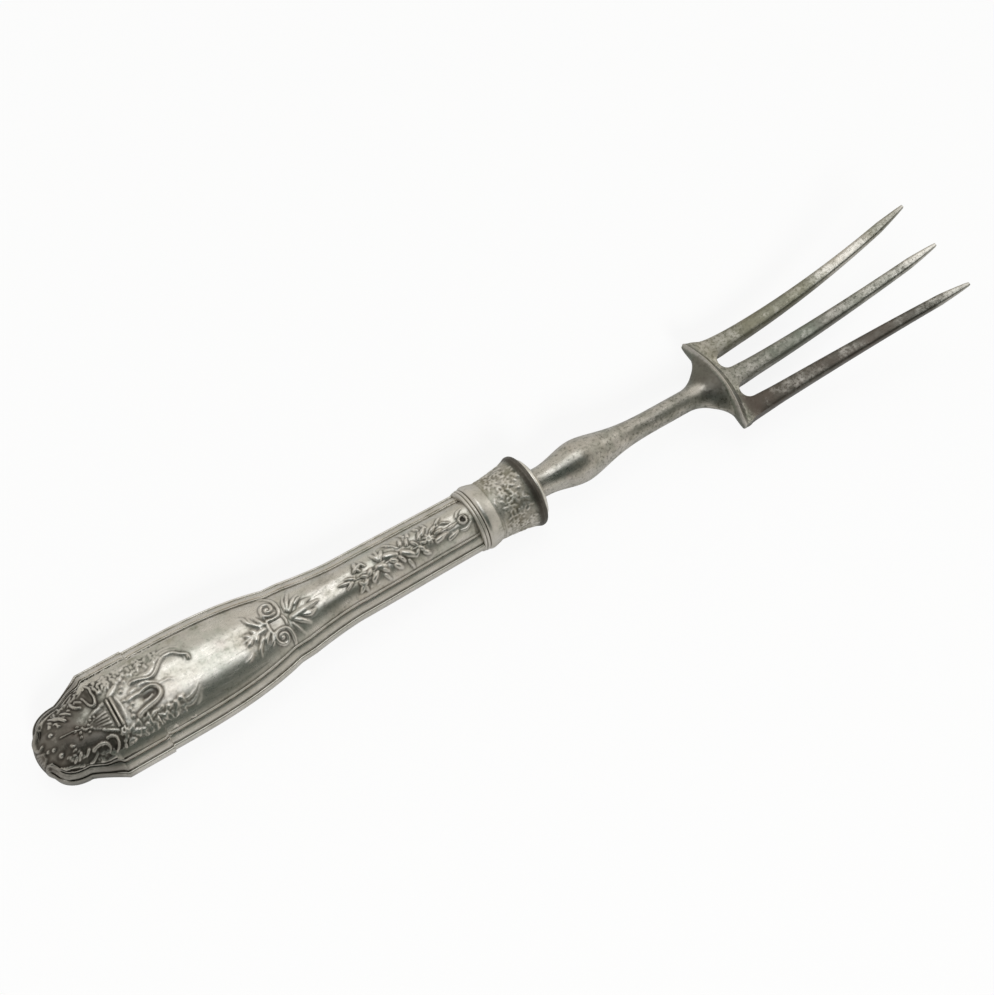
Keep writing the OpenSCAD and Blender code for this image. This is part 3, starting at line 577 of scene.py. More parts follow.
def faceOutward(mesh, weld=0.0):
    bm = bmesh.new()
    bm.from_mesh(mesh)
    if weld:
        bmesh.ops.remove_doubles(bm, verts=bm.verts, dist=weld)
        bmesh.ops.dissolve_degenerate(bm, dist=0.003, edges=bm.edges)
    bmesh.ops.recalc_face_normals(bm, faces=bm.faces)
    if bm.calc_volume(signed=True) < 0:
        bmesh.ops.reverse_faces(bm, faces=bm.faces)
    openEdges = sum(1 for e in bm.edges if not e.is_manifold)
    bm.to_mesh(mesh)
    bm.free()
    return openEdges


def bake(obj):
    deps = bpy.context.evaluated_depsgraph_get()
    mesh = bpy.data.meshes.new_from_object(obj.evaluated_get(deps), preserve_all_data_layers=True,
                                           depsgraph=deps)
    obj.modifiers.clear()
    old, obj.data = obj.data, mesh
    bpy.data.meshes.remove(old)
    return mesh


def shade(mesh, sharp):
    mesh.shade_smooth()
    mesh.set_sharp_from_angle(angle=math.radians(sharp))


def shellMesh(name, turned):
    n, k = lastStation + 1, ringCount
    spineCount = halfCount + 1
    spineOf = np.minimum(np.arange(n), lastStation - np.arange(n))
    wall, waist = handle["wall"], handle["waistThick"] / 2
    inner = np.zeros((n, 3, 3))
    # lines of the inner face: how far in and how high, and at what angle inside the tube
    lines = ((np.minimum(wall * 1.2, spineRun * 0.4), 0, 0),
             (np.minimum(wall * 2.2, spineRun * 0.6), 1.7, 28),
             (np.minimum(4.2, spineRun * 0.72), crown(-spineAll) - wall - 0.9, 62))
    for j, (go, z, angle) in enumerate(lines):
        a = math.radians(angle)
        inner[:, j, 0] = np.where(tube, planX, planX + toSpine[:, 0] * go)
        inner[:, j, 1] = np.where(tube, np.sign(planY) * (handle["waistWidth"] / 2 - wall) * math.cos(a),
                                  planY + toSpine[:, 1] * go)
        inner[:, j, 2] = np.where(tube, (waist - wall) * math.sin(a), z)
    spineOut = outer[:spineCount, k]
    spineIn = spineOut.copy()
    spineIn[:, 2] = np.where(tube[:spineCount], waist - wall, spineOut[:, 2] - wall)
    points = np.vstack([outer[:, :k].reshape(-1, 3), spineOut, inner.reshape(-1, 3), spineIn])
    count = n * k + spineCount
    skin = np.column_stack([np.arange(n * k).reshape(n, k), n * k + spineOf])
    lining = count + np.column_stack([np.arange(n * 3).reshape(n, 3), n * 3 + spineOf])
    faces = sheet(skin) + sheet(lining.T) + sheet(np.stack([skin[:, 0], lining[:, 0]]))
    faces.append(skin[0].tolist() + lining[0, ::-1].tolist())
    faces.append(lining[-1].tolist() + skin[-1, ::-1].tolist())
    # quads lose the corners that fall together along the spine
    faces = [[v for a, v in enumerate(f) if v != f[a - 1]] for f in faces]
    faces = [f for f in faces if len(set(f)) > 2]
    fields = dict(wearAndShading)
    if turned:
        points = points * np.array([1, -1, -1])
        # the half that lies underneath has its ground sunk and its highest parts worn flat on the table
        room = (outer[..., 0] * math.sin(lie) - outer[..., 2] * math.cos(lie) + lift) / np.maximum(
            np.abs(normal[..., 2]), 0.4)
        room = np.maximum(room - 0.02, 0.001)
        pressed = relief - 0.32 * averaged(nearby, 6) * ease((1.3 - room) / 0.9)
        flattened = np.minimum(pressed, room * (1 - np.exp(-np.maximum(pressed, 0) / room)))
        fields["relief"] = np.where(room < 3, flattened, pressed)
    mesh = bpy.data.meshes.new(name)
    mesh.from_pydata(lay(points).tolist(), [], faces)
    for key, field in fields.items():
        values = np.zeros(len(points))
        values[:n * k] = field[:, :k].ravel()
        values[n * k:count] = field[:spineCount, k]
        paint(mesh, key, values)
    faceOutward(mesh)
    return mesh


# One node tree. A feed is a value or the socket of another node.
class Net:
    def __init__(self, tree):
        self.tree = tree

    def feed(self, inputs, feeds):
        for key, value in feeds.items():
            if isinstance(value, bpy.types.NodeSocket):
                self.tree.links.new(value, inputs[key])
            else:
                inputs[key].default_value = value

    def add(self, kind, feeds=None, **settings):
        node = self.tree.nodes.new(kind)
        for key, value in settings.items():
            setattr(node, key, value)
        self.feed(node.inputs, feeds or {})
        return node

    def maths(self, kind, a, b, clamp=False):
        return self.add("ShaderNodeMath", {0: a, 1: b}, operation=kind, use_clamp=clamp).outputs[0]

    def times(self, a, b):
        return self.maths("MULTIPLY", a, b)

    def plus(self, *terms):
        total = terms[0]
        for term in terms[1:]:
            total = self.maths("ADD", total, term, True)
        return total

    def noise(self, vector, scale, detail, rough=0.6):
        feeds = {"Vector": vector, "Scale": scale, "Detail": detail, "Roughness": rough}
        return self.add("ShaderNodeTexNoise", feeds).outputs["Fac"]

    def ramp(self, value, low, high, outLow=0.0, outHigh=1.0):
        feeds = {"Value": value, "From Min": low, "From Max": high, "To Min": outLow, "To Max": outHigh}
        return self.add("ShaderNodeMapRange", feeds).outputs["Result"]

    def blend(self, fac, a, b):
        return self.add("ShaderNodeMix", {0: fac, 6: a, 7: b}, data_type="RGBA").outputs[2]

    def place(self):
        return self.add("ShaderNodeTexCoord").outputs["Object"]


def group(name, inputs, outputs, kind="ShaderNodeTree"):
    tree = bpy.data.node_groups.new(name, kind)
    for label, socketKind, value in inputs:
        socket = tree.interface.new_socket(label, in_out="INPUT", socket_type="NodeSocket" + socketKind)
        if value is not None:
            socket.default_value = value
    for label, socketKind in outputs:
        tree.interface.new_socket(label, in_out="OUTPUT", socket_type="NodeSocket" + socketKind)
    net = Net(tree)
    return net, net.add("NodeGroupInput").outputs, net.add("NodeGroupOutput").inputs


def material(name):
    mat = bpy.data.materials.new(name)
    mat.use_nodes = True
    return mat, Net(mat.node_tree), mat.node_tree.nodes["Principled BSDF"].inputs


# Moves every point along its normal by the drawn relief, and roughens the ground round it.
def stampTree():
    net, given, end = group(
        "stampedRelief",
        (("Geometry", "Geometry", None), ("Relief height", "Float", 0.001),
         ("Grain depth", "Float", 0.00003), ("Grain scale", "Float", 2600.0), ("Seed", "Float", 3.0),
         ("Metal", "Material", None)),
        (("Geometry", "Geometry"),), "GeometryNodeTree")
    drawn, ground = (
        net.add("GeometryNodeInputNamedAttribute", {"Name": name}, data_type="FLOAT").outputs["Attribute"]
        for name in ("relief", "ground"))
    grain = net.add("ShaderNodeTexNoise", {"Scale": given["Grain scale"]}, noise_dimensions="4D")
    net.feed(grain.inputs, {"W": given["Seed"]})
    push = net.times(drawn, given["Relief height"])
    rough = net.times(net.maths("SUBTRACT", grain.outputs["Fac"], 0.5), given["Grain depth"])
    rough = net.times(rough, net.times(ground, 8.0))
    along = net.add("GeometryNodeInputNormal").outputs[0]
    offset = net.add("ShaderNodeVectorMath", {0: along, "Scale": net.maths("ADD", push, rough)},
                     operation="SCALE")
    move = net.add("GeometryNodeSetPosition", {"Geometry": given["Geometry"], "Offset": offset.outputs[0]})
    real = net.add("GeometryNodeRealizeInstances", {0: move.outputs[0]})
    metal = net.add("GeometryNodeSetMaterial", {"Geometry": real.outputs[0], "Material": given["Metal"]})
    net.feed(end, {0: metal.outputs[0]})
    return net.tree


def applyTree(obj, tree, values):
    mod = obj.modifiers.new(tree.name, "NODES")
    mod.node_group = tree
    for item in tree.interface.items_tree:
        if item.in_out == "INPUT" and item.name in values:
            mod[item.identifier] = values[item.name]
    bake(obj)


# Shader groups: a film of tarnish and fine wear, whose masks also lay painted shade and painted highlights,
# used by every metal of the fork.
def tarnishAndShadingGroup():
    net, given, end = group(
        "tarnishFilm",
        (("Vector", "Vector", None), ("Bright", "Color", (0.62, 0.6, 0.55, 1)),
         ("Warm", "Color", (0.42, 0.36, 0.29, 1)), ("Cool", "Color", (0.36, 0.38, 0.32, 1)),
         ("Blush", "Color", (0.44, 0.36, 0.33, 1)), ("Dark", "Color", (0.07, 0.06, 0.05, 1)),
         ("Amount", "Float", 0.5), ("Recess", "Float", 0.0), ("Crest", "Float", 0.0),
         ("Soot", "Float", 0.0), ("Hue", "Float", 0.5), ("Ground", "Float", 0.0),
         ("Satin", "Float", 0.29), ("Speckle", "Float", 1.0)),
        (("Color", "Color"), ("Roughness", "Float"), ("Height", "Float")))
    vector, bright, dark = given["Vector"], given["Bright"], given["Dark"]
    recess, ground = given["Recess"], given["Ground"]
    broad = net.ramp(net.noise(vector, 85.0, 4.0), 0.36, 0.64)
    cloud = net.ramp(net.noise(vector, 260.0, 6.0, 0.65), 0.33, 0.68)
    speck = net.ramp(net.noise(vector, 1300.0, 4.0, 0.7), 0.5, 0.72)
    speckled = net.times(speck, given["Speckle"])
    fine = net.noise(vector, 4200.0, 3.0, 0.7)
    film = net.blend(broad, given["Warm"], given["Cool"])
    film = net.blend(net.ramp(net.noise(vector, 150.0, 3.0), 0.52, 0.7, 0.0, 0.7), film, given["Blush"])
    color = net.blend(net.times(cloud, given["Amount"]), bright, film)
    # dark oxide: brown, olive or grey green, broken up by cloud and speck
    olive = net.blend(broad, (0.27, 0.235, 0.145, 1), (0.23, 0.23, 0.16, 1))
    grey = net.blend(broad, (0.17, 0.185, 0.15, 1), (0.19, 0.18, 0.155, 1))
    brown = net.blend(broad, (0.095, 0.075, 0.062, 1), (0.105, 0.1, 0.085, 1))
    oxideAndShade = net.blend(net.ramp(given["Hue"], 0.0, 0.5), olive, grey)
    oxideAndShade = net.blend(net.ramp(given["Hue"], 0.5, 1.0), oxideAndShade, brown)
    # the oxide-and-shading mask lays the oxide colour, painted shade included
    spread = net.plus(net.times(cloud, 0.34), net.times(speckled, 0.16), net.times(given["Soot"], 0.86))
    layer = net.ramp(spread, 0.26, 0.86)
    color = net.blend(net.times(layer, 0.94), color, oxideAndShade)
    color = net.blend(net.times(speckled, 0.22), color, dark)
    # Recess darkens toward Dark and Crest lightens toward Bright: oxide in hollows and worn high points, and
    # also the painted shade and highlights of the masks
    color = net.blend(recess, color, dark)
    color = net.blend(net.times(given["Crest"], 0.8), color, bright)
    rough = net.plus(net.times(cloud, 0.1), given["Satin"], net.times(recess, 0.2), net.times(layer, 0.08),
                     net.times(ground, 0.2), net.ramp(fine, 0.35, 0.65, 0.0, 0.07))
    pebble = net.ramp(net.noise(vector, 950.0, 2.0), 0.35, 0.65, 0.0, 1.6)
    height = net.plus(net.times(speck, 0.35), net.times(fine, 0.5))
    height = net.maths("MAXIMUM", height, net.times(pebble, ground))
    net.feed(end, {"Color": color, "Roughness": rough, "Height": height})
    return net.tree


def scratchGroup():
    net, given, end = group("wipeScratches", (("Vector", "Vector", None), ("Density", "Float", 1.0)),
                            (("Height", "Float"),))
    sets = []
    for turn, seed in ((0.35, 0.0), (-0.5, 4.0), (1.2, 9.0)):
        turned = net.add("ShaderNodeMapping", {
            "Vector": given["Vector"], "Rotation": (0, 0, turn), "Location": (seed, seed, 0),
            "Scale": (120, 5200, 1500)})
        sets.append(net.ramp(net.noise(turned.outputs["Vector"], 1.0, 2.0), 0.66, 0.72))
    net.feed(end, {"Height": net.times(net.plus(*sets), given["Density"])})
    return net.tree


tarnishAndShading = tarnishAndShadingGroup()
scratches = scratchGroup()


def metalMaterial(name, look, worn):
    mat, net, shader = material(name)
    place = net.place()
    feeds = {"Vector": place}
    for key in worn:
        feeds[key.capitalize()] = net.add("ShaderNodeAttribute", attribute_name=key).outputs["Fac"]
    film = net.add("ShaderNodeGroup", node_tree=tarnishAndShading)
    net.feed(film.inputs, {**look["film"], **feeds})
    wipe = net.add("ShaderNodeGroup", node_tree=scratches)
    net.feed(wipe.inputs, {"Vector": place, "Density": look["scratches"]})
    height = net.maths("SUBTRACT", film.outputs["Height"], wipe.outputs["Height"])
    dent = net.add("ShaderNodeBump", {"Strength": look["bump"], "Distance": 0.00005, "Height": height})
    net.feed(shader, {"Metallic": 1.0, "Base Color": film.outputs["Color"],
                      "Roughness": film.outputs["Roughness"], "Normal": dent.outputs["Normal"]})
    return mat


looks = {
    "tarnishedHandle": {"scratches": 0.5, "bump": 0.4, "film": {
        "Bright": (0.71, 0.675, 0.62, 1), "Warm": (0.5, 0.44, 0.355, 1), "Cool": (0.40, 0.43, 0.36, 1),
        "Blush": (0.47, 0.395, 0.36, 1), "Dark": (0.05, 0.043, 0.036, 1), "Amount": 0.75, "Satin": 0.23,
        "Speckle": 1.2}},
    "tarnishedForging": {"scratches": 0.6, "bump": 0.45, "film": {
        "Bright": (0.62, 0.585, 0.535, 1), "Warm": (0.46, 0.415, 0.34, 1), "Cool": (0.39, 0.41, 0.35, 1),
        "Blush": (0.49, 0.41, 0.37, 1), "Dark": (0.07, 0.06, 0.05, 1), "Amount": 0.7, "Satin": 0.22,
        "Speckle": 2.2}},
    "brightCap": {"scratches": 0.4, "bump": 0.3, "film": {
        "Bright": (0.82, 0.79, 0.73, 1), "Warm": (0.64, 0.6, 0.52, 1), "Cool": (0.6, 0.6, 0.54, 1),
        "Blush": (0.62, 0.55, 0.5, 1), "Dark": (0.1, 0.09, 0.07, 1), "Amount": 0.4, "Satin": 0.26,
        "Hue": 0.3}},
}
handleMetal, forkMetal, capMetal = (metalMaterial(name, looks[name], worn) for name, worn in (
    ("tarnishedHandle", ("recess", "crest", "soot", "ground", "hue")),
    ("tarnishedForging", ("recess", "crest", "soot", "hue")), ("brightCap", ())))
print("metals mixed")

stamp = stampTree()
stampValues = {"Relief height": 0.001, "Grain depth": 0.00002, "Grain scale": 2600.0, "Seed": 3.0,
               "Metal": handleMetal}
for node, turned in (("handle_front", False), ("handle_back", True)):
    half = link(node + "_stamped", shellMesh(node + "_stamped", turned))
    applyTree(half, stamp, stampValues)
    shade(half.data, 62)
    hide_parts(node)
    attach(half, "root")
print("handle halves stamped")

# The forging: one grid of columns runs from the neck through shank and shoulder and splits into the tines.
forging = {
    "reach": tips["reach"], "inside": 3.9, "neck": 7.8, "neckLength": 4.2, "baluster": 11.4, "belly": 15.4,
    "shank": 5.8, "shankFrom": 30, "shoulder": 58.4, "shoulderWidth": 28.0, "bow": 1.3, "pitch": 9.95,
    "tipPitch": 14.1, "tineWidth": 5.0, "tineThick": 3.8, "tipLength": 8, "drop": 2.5, "webDepth": 2.4,
    "cornerTop": 0.62, "cornerLow": -1.1, "crestTop": 4.1, "dish": 0.5, "round": 0.3, "rib": 0.5,
    "oval": 3.4, "edge": 0.5, "columns": (12, 8, 12), "plateRows": 14, "tineRows": 78,
    "slope": ((0.16, 0.01), (0.4, 0.08), (0.75, 0.22), (1.2, 0.42), (1.8, 0.64), (2.5, 0.83), (3.2, 0.95)),
}
forging["root"] = forging["shoulder"] + 7.6
forging["horn"] = forging["shoulder"] - 9.8
forging["lift"] = tips["rise"] + forging["drop"]


def shankRadius(x):
    g = forging
    neck, baluster = g["neck"] / 2, g["baluster"] / 2
    up = mix(neck, baluster, ease((x - g["neckLength"]) / (g["belly"] - g["neckLength"])))
    down = mix(baluster, g["shank"] / 2,
               ease(1 - (1 - clip01((x - g["belly"]) / (g["horn"] - 3.6 - g["belly"]))) ** 2.2))
    return np.where(x < g["neckLength"], neck, np.where(x < g["belly"], up, down))


def alongTine(x):
    return clip01((x - forging["root"]) / (forging["reach"] - forging["root"]))


def midZ(x):
    g = forging
    return np.where(x < g["root"], -g["drop"] * ease((x - g["horn"]) / (g["root"] - g["horn"])),
                    -g["drop"] + g["lift"] * alongTine(x) ** 1.6)


def tipShare(x):
    return (0.13 + 0.87 * clip01((forging["reach"] - x) / forging["tipLength"])) ** 0.45


def tineT(x):
    return forging["tineThick"] * (1 - 0.4 * alongTine(x)) * tipShare(x)


def tineHalf(x):
    return forging["tineWidth"] / 2 * (1 - 0.55 * alongTine(x)) * tipShare(x)


def tineY(x):
    return mix(forging["pitch"], forging["tipPitch"], alongTine(x) ** 2.1)


def outerEdge(x):
    g = forging
    blendEnd = g["root"] + 2
    return tineY(x) + tineHalf(x) + (g["shoulderWidth"] / 2 - g["pitch"] - g["tineWidth"] / 2) * clip01(
        (blendEnd - x) / (blendEnd - g["shoulder"])) ** 2.2


# The round shank opens into a dished trumpet that ends in the arched, bowed crest.
def shankRows(share, top, bottom):
    g = forging
    even = np.sin(np.linspace(-math.pi / 2, math.pi / 2, len(share)))
    halfShank, halfWide = g["shank"] / 2, g["shoulderWidth"] / 2
    hornLength = g["shoulder"] - g["horn"]
    stops = np.concatenate([np.linspace(-g["inside"], g["neckLength"], 8, endpoint=False),
                            np.linspace(g["neckLength"], g["shankFrom"], 64, endpoint=False),
                            np.linspace(g["shankFrom"], g["horn"], 24, endpoint=False),
                            g["horn"] + hornLength * np.sin(np.linspace(0, math.pi / 2, 34))])
    for x in stops:
        s = float(clip01((x - g["horn"]) / hornLength))
        swell = 1 - math.sqrt(1 - s * s)
        base = float(shankRadius(x)) if s == 0 else halfShank
        u = mix(even, share, float(ease((s - 0.2) / 0.8)))
        y = u * (base if s == 0 else mix(halfShank, halfWide, swell))
        dome = clip01(1 - u * u)
        edgeTop, edgeLow = g["cornerTop"] * swell, g["cornerLow"] * swell
        midTop = base - g["dish"] * float(ease(s / 0.6)) + (g["crestTop"] - halfShank + g["dish"]) * swell
        midLow = -base - 0.7 * s * s
        up = mix(edgeTop, midTop, dome ** (0.5 + 0.5 * float(ease(s / 0.8))))
        low = mix(edgeLow, midLow, dome ** 0.5)
        bowed = x + g["bow"] * (1 - (y / halfWide) ** 2) * float(ease((s - 0.6) / 0.4))
        top.append(np.stack([bowed, y, up], 1))
        bottom.append(np.stack([bowed, y, low], 1))


# Behind the crest the surface falls steeply to the plate of the tines.
def slopeRows(top, bottom):
    g = forging
    crestRow, crestLow = top[-1], bottom[-1]
    archShare = 1 - (crestRow[:, 1] / (g["shoulderWidth"] / 2)) ** 2
    for forward, fall in g["slope"]:
        x = crestRow[:, 0] + forward * (0.35 + 0.65 * archShare)
        y = crestRow[:, 1] * (1 - 0.006 * forward)
        halfPlate = g["tineThick"] / 2
        top.append(np.stack([x, y, mix(crestRow[:, 2], midZ(x) + halfPlate, fall)], 1))
        bottom.append(np.stack([x, y, mix(crestLow[:, 2], midZ(x) - halfPlate, fall * 0.5)], 1))


def cosine(low, high, n):
    return low + (high - low) * (1 - np.cos(np.pi * np.arange(n + 1) / n)) / 2


def forkMesh():
    g = forging
    a, b, c = g["columns"]
    split = g["root"] + 0.4
    midEdge, gapEdge = float(tineHalf(split)), float(tineY(split) - tineHalf(split))
    outEdge = float(outerEdge(split))
    edges = (-outEdge, -gapEdge, -midEdge, midEdge, gapEdge, outEdge)
    sideCols = np.array([-outEdge])
    for low, high, cells in zip(edges, edges[1:], (a, b, c, b, a)):
        sideCols = np.append(sideCols, cosine(low, high, cells)[1:])
    n = len(sideCols)
    top, bottom = [], []
    shankRows(sideCols / outEdge, top, bottom)
    slopeRows(top, bottom)

    # the plate widens from the crest and ends in round webs between the tines
    start, startLow = top[-1], bottom[-1]
    away, side = np.abs(sideCols), np.sign(sideCols)
    inGap = (away > midEdge + 1e-6) & (away < gapEdge - 1e-6)
    off = np.abs(away - g["pitch"] / 2) / ((g["pitch"] - g["tineWidth"]) / 2)
    ends = np.full(n, split)
    ends[inGap] = split - g["webDepth"] * np.sqrt(clip01(1 - off[inGap] ** 2))
    across = np.where(away <= midEdge + 1e-6, away / midEdge,
                      np.abs(2 * away - gapEdge - outEdge) / (outEdge - gapEdge))
    edgeShare = clip01(across) ** 2.4
    for j in range(1, g["plateRows"] + 1):
        f = j / g["plateRows"]
        x = mix(start[:, 0], ends, f)
        spread = gapEdge + (away - gapEdge) / (outEdge - gapEdge) * (outerEdge(x) - gapEdge)
        y = np.where(away <= gapEdge + 1e-6, sideCols, side * spread)
        y = mix(start[:, 1], y, float(ease(f * 1.6)))
        y[[0, -1]] = (side * np.minimum(np.abs(outerEdge(x)), g["shoulderWidth"] / 2))[[0, -1]]
        up = midZ(x) + g["tineThick"] / 2 - g["round"] * float(ease(f)) * edgeShare
        low = mix(startLow[:, 2], midZ(x) - g["tineThick"] / 2, float(ease(f * 2)))
        top.append(np.stack([x, y, up], 1))
        bottom.append(np.stack([x, y, low], 1))

    rows = len(top)
    points = [np.concatenate(top), np.concatenate(bottom)]
    tops = np.arange(rows * n).reshape(rows, n)
    lows = tops + rows * n
    faces = closedSheets(tops, lows) + sheet(np.stack([tops[0], lows[0]], 1))
    for first in (a, a + b + c):
        web = slice(first, first + b + 1)
        faces += sheet(np.stack([tops[-1, web], lows[-1, web]], 1))

    # each tine goes from the flat section of the plate to a rounded one, and ends in a blunt tip
    tineX = split + (g["reach"] - split) * (1 - (1 - np.linspace(0, 1, g["tineRows"])[1:]) ** 1.5)
    total = 2 * rows * n
    for first, count, sign in ((0, a, -1), (a + b, c, 0), (a + 2 * b + c, a, 1)):
        cols = slice(first, first + count + 1)
        w = (sideCols[cols] - sideCols[first]) / (sideCols[first + count] - sideCols[first])
        fromMid = np.abs(2 * w - 1)
        oval = mix(g["rib"], 1, (1 - fromMid ** g["oval"]) ** (1 / g["oval"]))
        for x in tineX:
            y = sign * float(tineY(x)) + float(tineHalf(x)) * (2 * w - 1)
            z = float(tineT(x)) / 2
            rounding = float(ease((x - split) / 9))
            up = mix(z - g["round"] * float(tipShare(x)) * fromMid ** 2.4, z * oval, rounding)
            down = mix(-z, -z * oval, rounding)
            for height in (up, down):
                points.append(np.stack([np.full(count + 1, x), y, midZ(x) + height], 1))
        index = total + np.arange(len(tineX) * 2 * (count + 1)).reshape(len(tineX), 2, count + 1)
        total += index.size
        tineTops = np.vstack([tops[-1, cols], index[:, 0]])
        tineLows = np.vstack([lows[-1, cols], index[:, 1]])
        faces += closedSheets(tineTops, tineLows) + sheet(np.stack([tineTops[-1], tineLows[-1]], 1))
    mesh = bpy.data.meshes.new("fork_forged")
    mesh.from_pydata(np.concatenate(points).tolist(), [], faces)
    faceOutward(mesh, 0.004)
    return mesh


def vertexVectors(mesh, name):
    values = np.empty(len(mesh.vertices) * 3)
    mesh.vertices.foreach_get(name, values)
    return values.reshape(-1, 3)


# How thick the oxide lies along the shank, the shoulder and each tine. The horn is darkest before the crest,
# partly oxide and partly painted shade, and the far tine is left bare from 103 to 113 mm, partly wear and
# partly a painted highlight.
oxideAndShade = {
    "shank": ((0, 0.2), (4, 0.1), (9, 0.0), (16, 0.05), (30, 0.22), (44, 0.34), (50, 0.5), (53, 0.85),
              (58.0, 1.0), (59.5, 0.6)),
    "far": ((60, 0.4), (68, 0.5), (76, 0.7), (88, 0.84), (97, 0.7), (103, 0.05), (113, 0.0), (118, 0.4),
            (124, 0.6), (129, 0.4)),
    "middle": ((60, 0.4), (75, 0.62), (90, 0.82), (100, 0.7), (107, 0.4), (114, 0.55), (120, 0.3),
               (127, 0.05)),
    "near": ((60, 0.9), (70, 0.8), (80, 0.66), (93, 0.76), (103, 0.9), (114, 0.84), (121, 0.45), (128, 0.1)),
}


def forkMasks(co, facing):
    x, y, z = co.T
    shank, far, middle, near = (np.interp(x, *np.transpose(stops)) for stops in oxideAndShade.values())
    onTines = ease((x - 60) / 4)
    sideways = clip01((np.abs(y) - 3.5) / 3.5)
    onShoulder = forging["shoulder"] + forging["bow"] * (1 - (y / 14) ** 2)
    # ridge: the shoulder's crest line, worn bright and lightened further as a painted highlight
    ridge = np.exp(-((x - onShoulder - 0.15) / 0.4) ** 2) * (z > 0.2)
    inHorn = x < onShoulder - 0.8
    # farHorn: painted shade over the far side of the horn, where it reflects the walls
    farHorn = ease((x - 50) / 3) * inHorn * ease((y - 2) / 3)
    nearHorn = ease((x - 51) / 3) * inHorn * ease((-1 - y) / 3)
    midHorn = ease((x - 52.5) / 2.5) * inHorn * np.exp(-((y + 0.5) / 6) ** 2)
    # flank: painted shade on the tines' sideways faces
    flank = clip01((np.abs(facing[:, 1]) - 0.6) / 0.35) * onTines
    # painted highlight: a bare, bright spot where the shank meets the horn, where the window's reflection
    # lies
    paintedHighlight = blot(x, y, 52.4, 0.5, 1.7, 1.3) * (z > 0)
    thick = mix(shank, mix(middle, np.where(y > 0, far, near), sideways), onTines)
    return {
        "soot": clip01(thick - 0.6 * ridge + 0.1 * flank + 0.5 * farHorn - 0.55 * nearHorn - 1.2 * paintedHighlight),
        "hue": clip01(0.5 + sideways * onTines * np.where(y > 0, -0.25, 0.5) + 0.4 * midHorn),
        "crest": clip01(ridge + clip01((x - 121) / 8) * 0.6 + 1.2 * paintedHighlight),
        # recess is painted shade: darker up to the mouth and on the horn's near lower side
        "recess": clip01(clip01(1 - x / 2.6) * 0.4 + 0.08 * nearHorn),
    }


fork = link("fork_forged", forkMesh())
bevel = fork.modifiers.new("edges", "BEVEL")
bevel.width = forging["edge"]
bevel.segments = 3
bevel.limit_method = "ANGLE"
bevel.angle_limit = math.radians(50)
bevel.use_clamp_overlap = True
smoothed = bake(fork)
co = vertexVectors(smoothed, "co")
for name, values in forkMasks(co, vertexVectors(smoothed, "normal")).items():
    paint(smoothed, name, values)
smoothed.vertices.foreach_set("co", lay(co).ravel())
smoothed.update()
print("fork open edges", faceOutward(smoothed))
smoothed.materials.append(forkMetal)
shade(smoothed, 48)
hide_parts("fork")
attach(fork, "root")
print("fork forged")

# Domed oval cap in the mouth.
cap = {"width": 16.4, "height": 14.6, "edge": 0.8, "dome": 2.2, "bore": 3.95, "segments": 120}


def capMesh():
    turn = np.arange(cap["segments"]) * 2 * math.pi / cap["segments"]
    circle = np.stack([np.cos(turn), np.sin(turn)], 1)
    oval = circle * (cap["width"] / 2, cap["height"] / 2)
    hole = circle * cap["bore"]
    rows = [(0.0, hole)]
    for height, size in ((0.0, 0.975), (0.06, 0.994), (0.2, 1.0), (cap["edge"] - 0.12, 1.0)):
        rows.append((height, oval * size))
    for t in np.linspace(0.06, 1, 9):
        rows.append((mix(cap["edge"], cap["dome"], 1 - (1 - t) ** 1.7), mix(oval, hole, t)))
    points = np.concatenate([np.column_stack([np.full(len(ring), out), ring]) for out, ring in rows])
    closed = np.pad(np.arange(len(points)).reshape(len(rows), -1), ((0, 1), (0, 1)), mode="wrap")
    mesh = bpy.data.meshes.new("mouth_cap_domed")
    mesh.from_pydata(lay(points).tolist(), [], sheet(closed))
    faceOutward(mesh)
    mesh.materials.append(capMetal)
    shade(mesh, 50)
    return mesh


capPiece = link("mouth_cap_domed", capMesh())
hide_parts("mouth_cap")
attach(capPiece, "root")


def cementMaterial():
    mat, net, shader = material("resinCement")
    crumb = net.noise(net.place(), 900.0, 6.0)
    net.feed(shader, {"Base Color": net.blend(crumb, (0.05, 0.035, 0.025, 1), (0.14, 0.11, 0.09, 1)),
                      "Roughness": net.ramp(crumb, 0.3, 0.7, 0.7, 0.95)})
    return mat


cement = cementMaterial()
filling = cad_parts["handle_filling"]
for thing in (filling if isinstance(filling, list) else [filling]):
    if isinstance(thing, str):
        thing = bpy.data.objects[thing]
    if not thing.material_slots:
        thing.data.materials.append(cement)
    for materialSlot in thing.material_slots:
        materialSlot.material = cement
print("cap and filling dressed")

# Camera fitted to the photograph, given in the frame of the handle. The focal length is in pixels of
# the picture, 994 of them across the sensor.
view = {"position": (-128.882, -122.923, 360.175), "elevation": 64.2156, "heading": 44.1213, "roll": 12.0729,
        "focal": 1616.2465, "pixels": 994, "sensor": 36}


